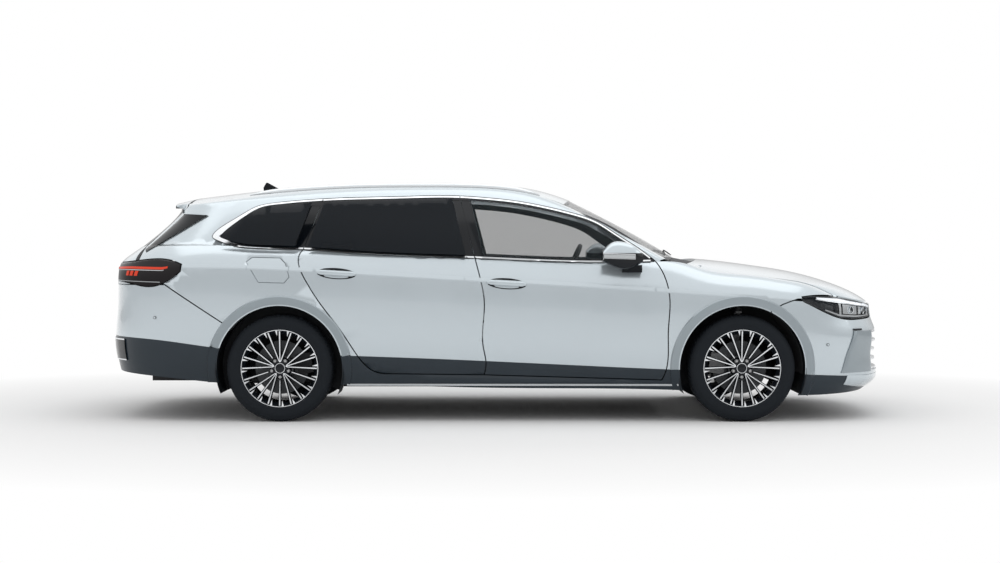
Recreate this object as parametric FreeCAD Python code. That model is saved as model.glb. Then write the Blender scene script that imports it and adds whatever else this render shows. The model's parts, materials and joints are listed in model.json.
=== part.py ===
import FreeCAD, Part
import math
import os

# Station wagon, a five door estate car. Millimetres, +X forward, +Y left, +Z up.
# The origin is on the ground under the middle of the car's length.

Vec = FreeCAD.Vector
doc = FreeCAD.newDocument("station_wagon")
sheet = doc.addObject("Spreadsheet::Sheet", "Sizes")

SIZES = (
    ("wheelbase", 2841),
    ("front_overhang", 955),
    ("rear_overhang", 1121),
    ("body_width", 1852),
    ("body_lift", 0),
    ("roof_lift", 0),
    ("track_width", 1576),
    ("tyre_radius", 328),
    ("tyre_width", 235),
    ("rim_radius", 240),
    ("rim_width", 214),
    ("arch_gap", 58),
    ("panel_gap", 7),
    ("skin_thickness", 4),
    ("door_thickness", 66),
    ("frame_thickness", 20),
    ("inner_depth", 94),
    ("inner_thickness", 34),
    ("roof_thickness", 22),
    ("glass_thickness", 5),
    ("glass_inset", 7),
    ("lid_thickness", 18),
    ("tailgate_thickness", 46),
    ("seal_gap", 0.3),
    ("spindle_radius", 24),
    ("disc_radius", 165),
    ("disc_thickness", 26),
    ("kingpin_offset", 60),
    ("hinge_pin_radius", 9),
    ("floor_thickness", 40),
    ("floor_height", 205),
    ("seat_width", 500),
    ("steering_wheel_radius", 186),
    ("steering_rim_radius", 15),
    ("pipe_radius", 27),
)

for row_number, (alias, value) in enumerate(SIZES, start=1):
    cell = "B%d" % row_number
    sheet.set("A%d" % row_number, alias)
    sheet.set(cell, str(value))
    sheet.setAlias(cell, alias)
doc.recompute()


def size(alias):
    """The value of one named cell of the sheet."""
    return float(sheet.get(alias))


wheelbase = size("wheelbase")
front_overhang = size("front_overhang")
rear_overhang = size("rear_overhang")
half_width = size("body_width") / 2
tyre_radius = size("tyre_radius")
tyre_width = size("tyre_width")
track_half = size("track_width") / 2
arch_radius = tyre_radius + size("arch_gap")
panel_gap = size("panel_gap")
skin = size("skin_thickness")
door_thickness = size("door_thickness")
frame_thickness = size("frame_thickness")
inner_depth = size("inner_depth")
inner_thickness = size("inner_thickness")
roof_thickness = size("roof_thickness")
glass_thickness = size("glass_thickness")
glass_inset = size("glass_inset")
lid_thickness = size("lid_thickness")
tailgate_thickness = size("tailgate_thickness")
seal_gap = size("seal_gap")
hinge_pin_radius = size("hinge_pin_radius")
kingpin_offset = size("kingpin_offset")
lift = size("body_lift")
roof_lift = size("roof_lift")

nose_x = (front_overhang + wheelbase + rear_overhang) / 2
tail_x = -nose_x
front_axle = nose_x - front_overhang
rear_axle = front_axle - wheelbase
axle_height = tyre_radius
CURVE_POINTS = 14
WIDE = 1400
LOW = -200
HIGH = 2200


# Placing and interpolation

def fwd(distance):
    """A station measured from the front axle."""
    return front_axle + distance


def aft(distance):
    """A station measured from the rear axle."""
    return rear_axle + distance


def lerp(start, end, part):
    """A value the given part of the way between two others."""
    return start + (end - start) * part


def smooth_line(points):
    """A natural cubic spline through (position, value) points, straight beyond its ends."""
    knots = sorted(points)
    count = len(knots)
    spans = [knots[i + 1][0] - knots[i][0] for i in range(count - 1)]
    slopes = [(knots[i + 1][1] - knots[i][1]) / spans[i] for i in range(count - 1)]
    diagonal = [1.0] * count
    bends = [0.0] * count
    for i in range(1, count - 1):
        weight = spans[i - 1] / diagonal[i - 1] if i > 1 else 0.0
        diagonal[i] = 2 * (spans[i - 1] + spans[i]) - weight * spans[i - 1]
        bends[i] = 6 * (slopes[i] - slopes[i - 1]) - weight * bends[i - 1]
    curve = [0.0] * count
    for i in range(count - 2, 0, -1):
        upper = spans[i] * curve[i + 1] if i < count - 2 else 0.0
        curve[i] = (bends[i] - upper) / diagonal[i]

    def first_slope(i):
        return slopes[i] - spans[i] * (2 * curve[i] + curve[i + 1]) / 6

    def last_slope(i):
        return slopes[i] + spans[i] * (curve[i] + 2 * curve[i + 1]) / 6

    def value(position):
        if position <= knots[0][0]:
            return knots[0][1] + first_slope(0) * (position - knots[0][0])
        if position >= knots[-1][0]:
            return knots[-1][1] + last_slope(count - 2) * (position - knots[-1][0])
        i = 0
        while position > knots[i + 1][0]:
            i += 1
        step = position - knots[i][0]
        rise = (curve[i + 1] - curve[i]) / (6 * spans[i])
        return knots[i][1] + step * (first_slope(i) + step * (curve[i] / 2 + step * rise))

    return value


# Feature lines of the body side, each a height and a half width along the car

sill_z = smooth_line([(aft(-1120), 300), (aft(-620), 262), (aft(-405), 240), (aft(400), 227),
                      (fwd(-1610), 208),
                      (fwd(-320), 190), (fwd(300), 160), (fwd(955), 178)])
crease_z = smooth_line([(aft(-1120), 520), (aft(-740), 503), (aft(-388), 456), (aft(392), 409),
                        (fwd(-1580), 376),
                        (fwd(-470), 325), (fwd(300), 296), (fwd(955), 262)])
shoulder_z = smooth_line([(aft(-1120), 955), (aft(-564), 950), (aft(-208), 945), (aft(232), 925),
                          (aft(476), 911),
                          (fwd(-1576), 865), (fwd(-1182), 845), (fwd(-460), 801), (fwd(0), 768),
                          (fwd(340), 742),
                          (fwd(955), 712)])
belt_z = smooth_line([(aft(-1120), 1058), (aft(-700), 1086), (aft(-330), 1082), (aft(-56), 1065),
                      (aft(142), 1058),
                      (aft(432), 1039), (fwd(-1644), 1006), (fwd(-872), 980), (fwd(-544), 984),
                      (fwd(-348), 975),
                      (fwd(-238), 942), (fwd(-90), 916), (fwd(108), 898), (fwd(248), 876), (fwd(470), 827),
                      (fwd(584), 773), (fwd(700), 735)])
sill_y = smooth_line([(tail_x, half_width - 50), (aft(0), half_width - 58), (fwd(0), half_width - 58),
                      (nose_x, half_width - 50)])
crease_y = smooth_line([(tail_x, half_width - 8), (aft(400), half_width - 11), (fwd(-400), half_width - 11),
                        (nose_x, half_width - 11)])
shoulder_y = smooth_line([(tail_x, half_width - 8), (aft(0), half_width - 4), (fwd(-1576), half_width - 6),
                          (fwd(-460), half_width - 6), (fwd(0), half_width - 6), (nose_x, half_width - 6)])
belt_y = smooth_line([(aft(-1120), half_width - 66), (aft(-330), half_width - 76),
                      (aft(142), half_width - 62),
                      (fwd(-1644), half_width - 52), (fwd(-872), half_width - 58),
                      (fwd(-560), half_width - 74),
                      (fwd(-348), half_width - 126), (fwd(-90), half_width - 150),
                      (fwd(248), half_width - 150),
                      (fwd(470), half_width - 126), (fwd(584), half_width - 100),
                      (fwd(700), half_width - 84)])
nose_profile = smooth_line([(150, -120), (235, -20), (400, -6), (554, -6), (640, -44), (720, -52),
                            (800, -110),
                            (1000, -220)])
tail_profile = smooth_line([(250, -40), (480, -2), (700, -18), (900, -20), (980, -44), (1064, -152),
                            (1180, -300),
                            (1260, -384), (1340, -428), (1440, -470)])
FLANK_BULGE = 9
SILL_BULGE = 6
NOSE_POWER = 3.2
TAIL_POWER = 4.0
tail_start = aft(-160)


def end_shape(x, z):
    """How far the plan has closed in at a station: 1 along the flanks, 0 at the nose or tail."""
    if x > front_axle:
        reach = (x - front_axle) / (nose_x + nose_profile(z) - front_axle)
        power = NOSE_POWER
    elif x < tail_start:
        reach = (tail_start - x) / (tail_start - tail_x + tail_profile(z))
        power = TAIL_POWER
    else:
        return 1.0
    return max(0.0, 1.0 - min(reach, 1.0) ** power) ** (1 / power)


def flank_half_width(x, z):
    """Half width of the body below the shoulder line, before the plan closes in."""
    crease = crease_z(x)
    if z < crease:
        sill = sill_z(x)
        part = (z - sill) / (crease - sill)
        return lerp(sill_y(x), crease_y(x), part) + SILL_BULGE * 4 * part * (1 - part)
    part = (z - crease) / (shoulder_z(x) - crease)
    return lerp(crease_y(x), shoulder_y(x), part) + FLANK_BULGE * 4 * part * (1 - part)


def flank(x, z):
    """A point of the body side below the shoulder line."""
    return Vec(x, flank_half_width(x, z) * end_shape(x, z), z + lift)


def shoulder(x, part):
    """The shoulder rolls from the character line up and in to the belt or the bonnet's edge."""
    angle = part * math.pi / 2
    fold = SHOULDER_ROLL(x)
    up = lerp(part, math.sin(angle), fold)
    inward = lerp(part ** 1.6, 1 - math.cos(angle), fold)
    z = lerp(shoulder_z(x), belt_z(x), up)
    y = lerp(shoulder_y(x), belt_y(x), inward)
    return Vec(x, y * end_shape(x, z), z + lift)


SHOULDER_ROLL = smooth_line([(tail_x, 0.3), (aft(0), 0.3), (fwd(-700), 0.4), (fwd(-300), 0.9), (nose_x, 1.0)])

GLASS_LEAN = 0.44
GLASS_CURVE = 0.00028
BELT_LEDGE = 6


def glasshouse(x, z):
    """The side of the cabin above the belt, leaning in and slightly barrelled."""
    above = z - belt_z(x)
    y = belt_y(x) - BELT_LEDGE - GLASS_LEAN * above - GLASS_CURVE * above * above
    return Vec(x, y * end_shape(x, z), z + lift)


def inward(point, depth):
    """The point moved in from the flank by a depth, square to the plan."""
    step = 20
    x = point.x
    z = point.z - lift
    ahead = end_shape(min(x + step, nose_x), z)
    behind = end_shape(max(x - step, tail_x), z)
    slope = half_width * (ahead - behind) / (2 * step)
    length = math.hypot(slope, 1)
    return Vec(x + depth * slope / length, point.y - depth / length, point.z)


# Surfaces as spline patches

def greville(count, degree):
    """Where along a spline each of its poles acts."""
    spans = count - degree
    knots = [0.0] * degree + [i / spans for i in range(spans + 1)] + [1.0] * degree
    return [sum(knots[i + 1:i + 1 + degree]) / degree for i in range(count)]


def patch(point, along, across, degree_along=3, degree_across=3):
    """A spline face that follows point(s, t) for s and t from 0 to 1."""
    poles = [[point(s, t) for t in greville(across, degree_across)] for s in greville(along, degree_along)]
    surface = Part.BSplineSurface()
    knots = []
    for count, degree in ((along, degree_along), (across, degree_across)):
        spans = count - degree
        values = [i / spans for i in range(spans + 1)]
        knots.append((values, [degree + 1] + [1] * (spans - 1) + [degree + 1]))
    surface.buildFromPolesMultsKnots(poles, knots[0][1], knots[1][1], knots[0][0], knots[1][0], False, False,
                                     degree_along, degree_across)
    return surface.toShape()


def sheet_between(outers, inners, along, across=5):
    """A closed sheet between bands of outer and inner surface, joined edge to edge."""
    faces = []
    for outer, inner in zip(outers, inners):
        faces.append(patch(outer, along, across))
        faces.append(patch(inner, along, across))
        for end in (0, 1):
            def end_wall(r, t, end=end, outer=outer, inner=inner):
                return outer(end, t) * (1 - r) + inner(end, t) * r
            faces.append(patch(end_wall, 2, across, 1, 3))
    for edge, index in ((0, 0), (1, -1)):
        def edge_wall(s, r, edge=edge, outer=outers[index], inner=inners[index]):
            return outer(s, edge) * (1 - r) + inner(s, edge) * r
        faces.append(patch(edge_wall, along, 2, 3, 1))
    shell = Part.Shell(faces)
    shell.sewShape()
    solid = Part.Solid(shell)
    if solid.Volume < 0:
        solid.reverse()
    return solid


def outline(*runs):
    """A closed face in the side view from runs of (x, z) points: two points a line, more a smooth curve."""
    edges = []
    for run in runs:
        points = [Vec(x, 0, z + lift) for x, z in run]
        if len(points) == 2:
            edges.append(Part.makeLine(points[0], points[1]))
        else:
            curve = Part.BSplineCurve()
            curve.interpolate(points)
            edges.append(curve.toShape())
    return Part.Face(Part.Wire(edges))


def polygon(*points):
    """A closed side view face with straight edges through (x, z) points."""
    return outline(*[(points[i], points[(i + 1) % len(points)]) for i in range(len(points))])


def spline_through(points):
    """A smooth edge through points."""
    curve = Part.BSplineCurve()
    curve.interpolate(points)
    return curve.toShape()


def grown(face, distance):
    """The face with its edge moved out, or in where the distance is negative, its curves as splines."""
    runs = []
    for edge in face.makeOffset2D(distance, 0).OuterWire.OrderedEdges:
        straight = edge.Curve.TypeId == "Part::GeomLine"
        runs.append(edge.discretize(Number=2 if straight else CURVE_POINTS))
    for i, run in enumerate(runs):
        following = runs[(i + 1) % len(runs)]
        ends = (following[0], following[-1])
        if min(run[0].distanceToPoint(end) for end in ends) < min(run[-1].distanceToPoint(end) for end in ends):
            run.reverse()
    for i, run in enumerate(runs):
        run[0] = runs[i - 1][-1]
    return Part.Face(Part.Wire([Part.makeLine(*run) if len(run) == 2 else spline_through(run) for run in runs]))


def prism(face, near=150, far=WIDE):
    """The side view face carried across the left half of the car."""
    return face.translated(Vec(0, near, 0)).extrude(Vec(0, far - near, 0))


def only_solid(shape):
    """The largest solid of a boolean result."""
    return max(shape.Solids, key=lambda solid: solid.Volume)


def mirrored(shape):
    """The shape across the car's middle plane."""
    return shape.mirror(Vec(0, 0, 0), Vec(0, 1, 0))


def box(low, high):
    """A block between two opposite corners."""
    return Part.makeBox(high[0] - low[0], high[1] - low[1], high[2] - low[2], Vec(*low))


def cylinder(start, end, radius):
    """A round bar between two points."""
    axis = Vec(*end) - Vec(*start)
    return Part.makeCylinder(radius, axis.Length, Vec(*start), axis)


PIECES = []


def piece(label, shape):
    """A sub-part made with surface and boolean functions."""
    feature = doc.addObject("Part::Feature", label)
    feature.Label = label
    place = shape.Placement
    feature.Shape = shape
    feature.Placement = place
    PIECES.append(feature)
    return feature


def both_sides(label, shape):
    """A left piece and its right twin, each its own sub-part."""
    piece(label + "_left", shape)
    piece(label + "_right", mirrored(shape))


def pair(label, shape):
    """Two like solids, left and right, in one sub-part."""
    piece(label, Part.makeCompound([shape, mirrored(shape)]))


# Reading the body anywhere

def body_half_width(x, z):
    """Half width of the whole side at any height, before the plan closes in."""
    if z <= shoulder_z(x):
        return flank_half_width(x, z)
    if z >= belt_z(x):
        above = z - belt_z(x)
        return belt_y(x) - BELT_LEDGE - GLASS_LEAN * above - GLASS_CURVE * above * above
    low = 0.0
    high = 1.0
    fold = SHOULDER_ROLL(x)
    for _ in range(16):
        middle = (low + high) / 2
        up = lerp(middle, math.sin(middle * math.pi / 2), fold)
        if lerp(shoulder_z(x), belt_z(x), up) < z:
            low = middle
        else:
            high = middle
    inward_part = lerp(low ** 1.6, 1 - math.cos(low * math.pi / 2), fold)
    return lerp(shoulder_y(x), belt_y(x), inward_part)


def wrapped(angle, z, depth, heading, start, length, power):
    """A point of the closing plan at an angle, set in square to it by a depth."""
    def plain(turn):
        ahead = math.cos(turn)
        aside = math.sin(turn)
        scale = (abs(ahead) ** power + abs(aside) ** power) ** (-1 / power)
        x = start + heading * length * ahead * scale
        return x, body_half_width(x, z) * aside * scale
    x, y = plain(angle)
    if depth:
        step = 0.02
        x_after, y_after = plain(angle + step)
        x_before, y_before = plain(angle - step)
        run = math.hypot(x_after - x_before, y_after - y_before)
        x -= depth * heading * (y_after - y_before) / run
        y += depth * heading * (x_after - x_before) / run
    return Vec(x, y, z + lift)


def nose_wrap(angle, z, depth=0.0):
    """A point on the nose by its angle from straight ahead, set in square to the plan by a depth."""
    return wrapped(angle, z, depth, 1, front_axle, nose_x + nose_profile(z) - front_axle, NOSE_POWER)


def tail_wrap(angle, z, depth=0.0):
    """A point on the tail by its angle from straight behind, set in square to the plan by a depth."""
    return wrapped(angle, z, depth, -1, tail_start, tail_start - tail_x + tail_profile(z), TAIL_POWER)


def plan_angle(x, z):
    """The wrap angle at which the nose or tail passes a station."""
    if x > front_axle:
        reach = (x - front_axle) / (nose_x + nose_profile(z) - front_axle)
        power = NOSE_POWER
    else:
        reach = (tail_start - x) / (tail_start - tail_x + tail_profile(z))
        power = TAIL_POWER
    aside = max(0.0, 1 - min(reach, 1.0) ** power) ** (1 / power)
    return math.atan2(aside, reach)


def wrap_sheet(wrap, start, end, heights, depth, thickness, along, across=5):
    """A sheet round the nose or tail between two angles and through a list of height lines.

    An angle may depend on the height and a height on the angle, and a depth on both.
    """
    def value(rule, *where):
        return rule(*where) if callable(rule) else rule
    outers = []
    inners = []
    for low, high in zip(heights, heights[1:]):
        def surface(s, t, extra, low=low, high=high):
            z = value(low, 0.0)
            turn = 0.0
            for _ in range(3):
                turn = lerp(value(start, z), value(end, z), s)
                z = lerp(value(low, turn), value(high, turn), t)
            return wrap(turn, z, value(depth, z) + extra)
        outers.append(lambda s, t, surface=surface: surface(s, t, 0))
        inners.append(lambda s, t, surface=surface: surface(s, t, thickness))
    return sheet_between(outers, inners, along, across)


# The side from the sill to the roof's edge

REAR_EDGE = smooth_line([(200, aft(-700)), (842, aft(-800)), (985, aft(-898)), (1064, aft(-868)),
                         (1180, aft(-746)),
                         (1280, aft(-642)), (1345, aft(-598)), (1400, aft(-560))])
FRONT_EDGE = smooth_line([(150, fwd(-330)), (330, fwd(-350)), (600, fwd(-470)), (980, fwd(-500)),
                          (1400, fwd(-500))])
cant_z = smooth_line([(aft(-720), 1318), (aft(-500), 1340), (aft(-178), 1362), (aft(248), 1388),
                      (fwd(-1738), 1404), (fwd(-1428), 1379), (fwd(-1228), 1344), (fwd(-1028), 1294),
                      (fwd(-860), 1228), (fwd(-622), 1070), (fwd(-500), 992)])
roof_edge_z = smooth_line([(aft(-700), 1338), (aft(-232), 1400), (aft(404), 1447), (aft(910), 1453),
                           (fwd(-1488), 1440), (fwd(-1252), 1402), (fwd(-1088), 1343), (fwd(-874), 1232),
                           (fwd(-674), 1125), (fwd(-434), 985)])
roof_edge_y = smooth_line([(aft(-700), half_width - 386), (aft(-232), half_width - 366),
                           (aft(404), half_width - 352), (aft(910), half_width - 346),
                           (fwd(-1488), half_width - 346), (fwd(-1252), half_width - 338),
                           (fwd(-1088), half_width - 314), (fwd(-874), half_width - 258),
                           (fwd(-674), half_width - 202), (fwd(-434), half_width - 146)])
PILLAR_STEP = 38
CANT_DEPTH = 60
FRAME_POCKET = 26
RAIL_SHARE = 0.8


def ramp(value):
    """A soft step from 0 to 1."""
    value = max(0.0, min(1.0, value))
    return value * value * (3 - 2 * value)


def roof_edge(x):
    """The upper edge of the cant rail, beside the station x of its lower edge."""
    top = x + PILLAR_STEP * ramp((x - fwd(-1500)) / 600)
    return Vec(top, roof_edge_y(top), roof_edge_z(top) + lift)


def side_station(rear_edge, front_edge, height, s):
    """Where a height line passes the part s of the way between two end lines."""
    z = 700
    for _ in range(8):
        x = lerp(rear_edge(z), front_edge(z), s)
        z = height(x)
    return x, z


def side_bands(rear_edge, front_edge, lines):
    """Bands of the side between two end lines, each line a station for a height."""
    def at(height, s):
        return side_station(rear_edge, front_edge, height, s)

    def straight(low, high, surface):
        def band(s, t):
            x_low, z_low = at(low, s)
            x_high, z_high = at(high, s)
            return surface(lerp(x_low, x_high, t), lerp(z_low, z_high, t))
        return band

    def rolled(s, t):
        x_low, z_low = at(shoulder_z, s)
        x_high, z_high = at(belt_z, s)
        return shoulder(lerp(x_low, x_high, t), t)

    def stepped(s, t):
        x, z = at(belt_z, s)
        return Vec(x, (belt_y(x) - BELT_LEDGE * t) * end_shape(x, z), z + lift)

    bands = []
    for low, high in zip(lines, lines[1:]):
        if low is shoulder_z and high is belt_z:
            bands.append(rolled)
        elif low is belt_z:
            bands.append(stepped)
            bands.append(straight(low, high, glasshouse))
        else:
            bands.append(straight(low, high, flank))
    return bands


def cant_band(rear_edge, front_edge):
    """The cant rail, rolling from the side up and in to the roof's edge."""
    def outer(s, t):
        x = side_station(rear_edge, front_edge, cant_z, s)[0]
        start = glasshouse(x, cant_z(x))
        below = glasshouse(x, cant_z(x) - 30)
        end = roof_edge(x)
        corner = start + (start - below) * ((end.z - start.z) / 30 * 0.85)
        corner.x = lerp(start.x, end.x, 0.5)
        return start * (1 - t) ** 2 + corner * (2 * t * (1 - t)) + end * t ** 2

    def inner(s, t):
        start = inward(outer(s, 0), CANT_DEPTH)
        upper = outer(s, 1)
        end = upper - Vec(0, -1, RAIL_SHARE * (upper.z - start.z))
        return start * (1 - t) + end * t

    return outer, inner


def side_sheet(rear_edge, front_edge, lines, depth, thickness, along, across=5, top_depth=None, top_end=None):
    """A sheet of the side, its back thinning above the belt where top depths are given."""
    outers = side_bands(rear_edge, front_edge, lines)
    last = len(outers) - 1

    def back(band, index, full, top):
        def surface(s, t):
            reach = full
            if top is not None and index == last:
                reach = lerp(full, top, ramp(t * 2))
            return inward(band(s, t), reach) if reach else band(s, t)
        return surface
    starts = [back(band, i, depth, top_depth) for i, band in enumerate(outers)]
    ends = [back(band, i, depth + thickness, top_end) for i, band in enumerate(outers)]
    return starts, ends


def side_solid(rear_edge, front_edge, lines, depth, thickness, along, across=5, top_depth=None, top_end=None):
    """The side sheet closed to a solid."""
    starts, ends = side_sheet(rear_edge, front_edge, lines, depth, thickness, along, across, top_depth,
                              top_end)
    return sheet_between(starts, ends, along, across)


# Side view outlines

window_top = [(aft(-422), 1139), (aft(-370), 1197), (aft(-274), 1259), (aft(-178), 1317), (aft(-82), 1344),
              (aft(62), 1360), (aft(248), 1374), (aft(726), 1389), (fwd(-1738), 1393),
              (fwd(-1578), 1382), (fwd(-1428), 1367), (fwd(-1228), 1332), (fwd(-1028), 1283),
              (fwd(-860), 1217),
              (fwd(-780), 1163), (fwd(-622), 1058), (fwd(-534), 990)]
top_z = smooth_line(window_top)
base_z = smooth_line([(aft(-386), 1119), (aft(-330), 1095), (aft(-226), 1074), (aft(-56), 1065),
                      (aft(142), 1060), (aft(432), 1039), (fwd(-1644), 1006), (fwd(-872), 980),
                      (fwd(-544), 986)])
b_line = [(fwd(-1586), 289), (fwd(-1574), 376), (fwd(-1590), 462), (fwd(-1584), 749), (fwd(-1606), 871),
          (fwd(-1644), 1013), (fwd(-1738), 1393)]
front_door_front = [(fwd(-534), 990), (fwd(-498), 937), (fwd(-464), 849), (fwd(-448), 749), (fwd(-458), 557),
                    (fwd(-468), 327), (fwd(-494), 258)]
rear_door_back = [(aft(648), 296), (aft(554), 327), (aft(476), 414), (aft(382), 557), (aft(238), 749),
                  (aft(174), 851), (aft(128), 945), (aft(118), 1001), (aft(146), 1058)]
front_door_face = outline([(fwd(-494), 258), b_line[0]], b_line, window_top[8:], front_door_front)
rear_door_face = outline([b_line[0], rear_door_back[0]], rear_door_back,
                         [rear_door_back[-1], (aft(248), 1374)],
                         window_top[6:9], list(reversed(b_line)))

RAIL = 24
SILL_TRIM = 16
PILLAR = 52


def window_face(back_base, back_top, front_base, front_top, count=5):
    """A window between two leaning uprights, a rail inside the roof line and a trim above the belt."""
    shares = [i / (count - 1) for i in range(count)]
    tops = [(x, top_z(x) - RAIL) for x in [lerp(back_top, front_top, share) for share in shares]]
    bases = [(x, base_z(x) + SILL_TRIM) for x in [lerp(front_base, back_base, share) for share in shares]]
    runs = [tops]
    if abs(tops[-1][0] - bases[0][0]) + abs(tops[-1][1] - bases[0][1]) > 1:
        runs.append([tops[-1], bases[0]])
    runs.append(bases)
    runs.append([bases[-1], tops[0]])
    return outline(*runs)


front_window_face = window_face(fwd(-1644 + PILLAR), fwd(-1730 + PILLAR), fwd(-640), fwd(-700), 8)
rear_window_face = window_face(aft(176), aft(276), fwd(-1644 - PILLAR), fwd(-1730 - PILLAR))
quarter_window_face = outline(
    [(aft(-370), 1140), (aft(-330), 1172), (aft(-240), 1240), (aft(-160), 1297), (aft(-60), 1326),
     (aft(62), 1336), (aft(200), 1347)],
    [(aft(200), 1347), (aft(96), 1078)],
    [(aft(96), 1078), (aft(-56), 1084), (aft(-226), 1096), (aft(-310), 1116), (aft(-370), 1140)])

arch_front = cylinder((front_axle, 0, axle_height), (front_axle, WIDE, axle_height), arch_radius)
arch_rear = cylinder((rear_axle, 0, axle_height), (rear_axle, WIDE, axle_height), arch_radius)
bumper_split_rear = polygon((aft(-704), 843), (aft(-312), 587), (aft(-312), LOW), (aft(-1400), LOW),
                            (aft(-1400), 843))
quarter_split = polygon((aft(-1400), 843), (aft(-704), 843), (aft(-312), 587), (aft(-100), 587),
                        (aft(-100), 1100), (aft(-1400), 1100))
front_split = [(fwd(390), 755), (fwd(338), 755), (fwd(300), 743), (fwd(246), 723), (fwd(174), 686)]
fender_split = polygon(*(front_split + [(fwd(120), 686), (fwd(120), 1000), (fwd(390), 1000)]))
bumper_split_front = polygon(*(front_split + [(fwd(174), LOW), (fwd(1300), LOW), (fwd(1300), 755)]))

# Lamps, as regions of the nose and tail

LAMP_DEPTH = 60


def lamp_line(points):
    """A height line over the wrap angle from (station, height) points, or (half width, height) when small."""
    knots = []
    for place, z in points:
        if 0 < place < 700:
            aside = place / half_width
            power = NOSE_POWER if points[0][0] > 0 else TAIL_POWER
            knots.append((math.atan2(aside, (1 - aside ** power) ** (1 / power)), z))
        else:
            knots.append((plan_angle(place, z), z))
    return smooth_line(knots)


head_top = lamp_line([(fwd(366), 764), (fwd(426), 772), (fwd(590), 767), (fwd(736), 740), (560, 716),
                      (470, 706)])
head_base = lamp_line([(fwd(366), 745), (fwd(500), 680), (fwd(616), 634), (fwd(736), 628), (560, 636),
                       (470, 644)])
head_side = plan_angle(fwd(372), 760)
head_inner = math.atan2(0.52, (1 - 0.52 ** NOSE_POWER) ** (1 / NOSE_POWER))
tail_top = lamp_line([(aft(-600), 965), (aft(-634), 980), (aft(-912), 985), (500, 975), (100, 970)])
tail_base = lamp_line([(aft(-600), 930), (aft(-724), 846), (aft(-932), 852), (500, 862), (100, 865)])
tail_side = plan_angle(aft(-604), 960)
tail_split = math.atan2(0.66, (1 - 0.66 ** TAIL_POWER) ** (1 / TAIL_POWER))


def lamp_region(wrap, start, end, base, top, grow, depth_from, depth):
    """The lamp's volume, or a larger one that cuts room for it."""
    turn = grow / 900 * (1 if start > end else -1)
    return wrap_sheet(wrap, start + turn, end - turn,
                      [lambda w: base(w) - grow, lambda w: top(w) + grow], depth_from, depth, 12, 5)


headlamp = lamp_region(nose_wrap, head_side, head_inner, head_base, head_top, 0, 2, LAMP_DEPTH)
headlamp_room = lamp_region(nose_wrap, head_side, head_inner, head_base, head_top, panel_gap, -40, 160)
tail_lamp = lamp_region(tail_wrap, tail_side, tail_split, tail_base, tail_top, 0, 2, 46)
tail_lamp_room = lamp_region(tail_wrap, tail_side, tail_split, tail_base, tail_top, panel_gap, -40, 180)

# Body sides

SIDE_LINES = [sill_z, crease_z, shoulder_z, belt_z, cant_z]
side_outer, side_back = side_sheet(REAR_EDGE, FRONT_EDGE, SIDE_LINES, 0, inner_depth + inner_thickness, 26,
                                   top_end=CANT_DEPTH)
cant_outer, cant_inner = cant_band(REAR_EDGE, FRONT_EDGE)
side_slab = sheet_between(side_outer + [cant_outer], side_back + [cant_inner], 28)
pocket_slab = side_solid(lambda z: REAR_EDGE(z) + 30, lambda z: fwd(-380),
                         [lambda x: sill_z(x) - 60, crease_z, shoulder_z, belt_z, cant_z], -40,
                         inner_depth + 40, 26, top_depth=-40, top_end=FRAME_POCKET)
APERTURE_LAND = 44
both_doors_face = outline([(fwd(-494), 258), b_line[0]], [b_line[0], rear_door_back[0]], rear_door_back,
                          [rear_door_back[-1], window_top[6]], window_top[6:], front_door_front)
door_rooms = [pocket_slab.common(prism(grown(both_doors_face, panel_gap / 2)))]
apertures = [prism(grown(face, -APERTURE_LAND)) for face in (front_door_face, rear_door_face)]
fender_room = prism(outline([(fwd(-494), 252), (fwd(100), 252)], [(fwd(100), 252), (fwd(100), 980)],
                            [(fwd(100), 980), (fwd(-530), 980)], [(fwd(-530), 980), (fwd(-494), 252)]))
quarter_room = prism(quarter_window_face)
flap_points = [(aft(-202), 983), (aft(-164), 1012), (aft(6), 1008), (aft(42), 973), (aft(66), 889),
               (aft(34), 851), (aft(-126), 856)]
flap_face = polygon(*flap_points)
bumper_room_rear = prism(grown(bumper_split_rear, panel_gap / 2))

body_side = side_slab
for room in door_rooms + apertures + [fender_room, arch_rear, arch_front, bumper_room_rear, tail_lamp_room,
                                      quarter_room]:
    body_side = only_solid(body_side.cut(room))

# Doors

front_glass_room = prism(front_window_face)
rear_glass_room = prism(rear_window_face)


def straight_edge(x):
    """An end line that stands upright at a station."""
    def edge(z):
        return x
    return edge


DOOR_RIM = 26
DOOR_BACK = 130
FRAME_FOOT = 3


def door_shape(face, window, rear, front, box_rear, box_front):
    """A door: a full skin, a box behind it set in from the edges, and a frame round the window."""
    def high(x):
        return min(1450, cant_z(x) + 40)

    lines = [lambda x: 170, crease_z, shoulder_z, belt_z, high]
    ends = (straight_edge(rear), straight_edge(front))
    wide_ends = (straight_edge(rear - 60), straight_edge(front + 60))
    blank = side_solid(*ends, lines, 0, door_thickness, 16)
    door = only_solid(blank.common(prism(grown(face, -panel_gap / 2))))
    behind_skin = sheet_between(
        [lambda s, t, band=band: inward(band(s, t), skin) for band in door_back_bands(wide_ends)],
        [lambda s, t, band=band: inward(band(s, t), DOOR_BACK) for band in door_back_bands(wide_ends)], 16)
    core = prism(grown(face, -panel_gap / 2 - DOOR_RIM)).common(box((box_rear, 0, LOW),
                                                                    (box_front, WIDE, HIGH)))
    rim_room = behind_skin.cut(core)

    def window_side(depth):
        def surface(s, t):
            x = lerp(rear - 60, front + 60, s)
            return inward(glasshouse(x, lerp(belt_z(x) - FRAME_FOOT, high(x) + 60, t)), depth)
        return surface
    behind_frame = sheet_between([window_side(frame_thickness)], [window_side(DOOR_BACK)], 16)
    door = door.cut(rim_room).cut(behind_frame)
    return only_solid(only_solid(door).cut(window))


def door_back_bands(ends):
    """Bands over a door's back, from under the sill to the belt."""
    return side_bands(*ends, [lambda x: 100, crease_z, shoulder_z, belt_z])


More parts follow.
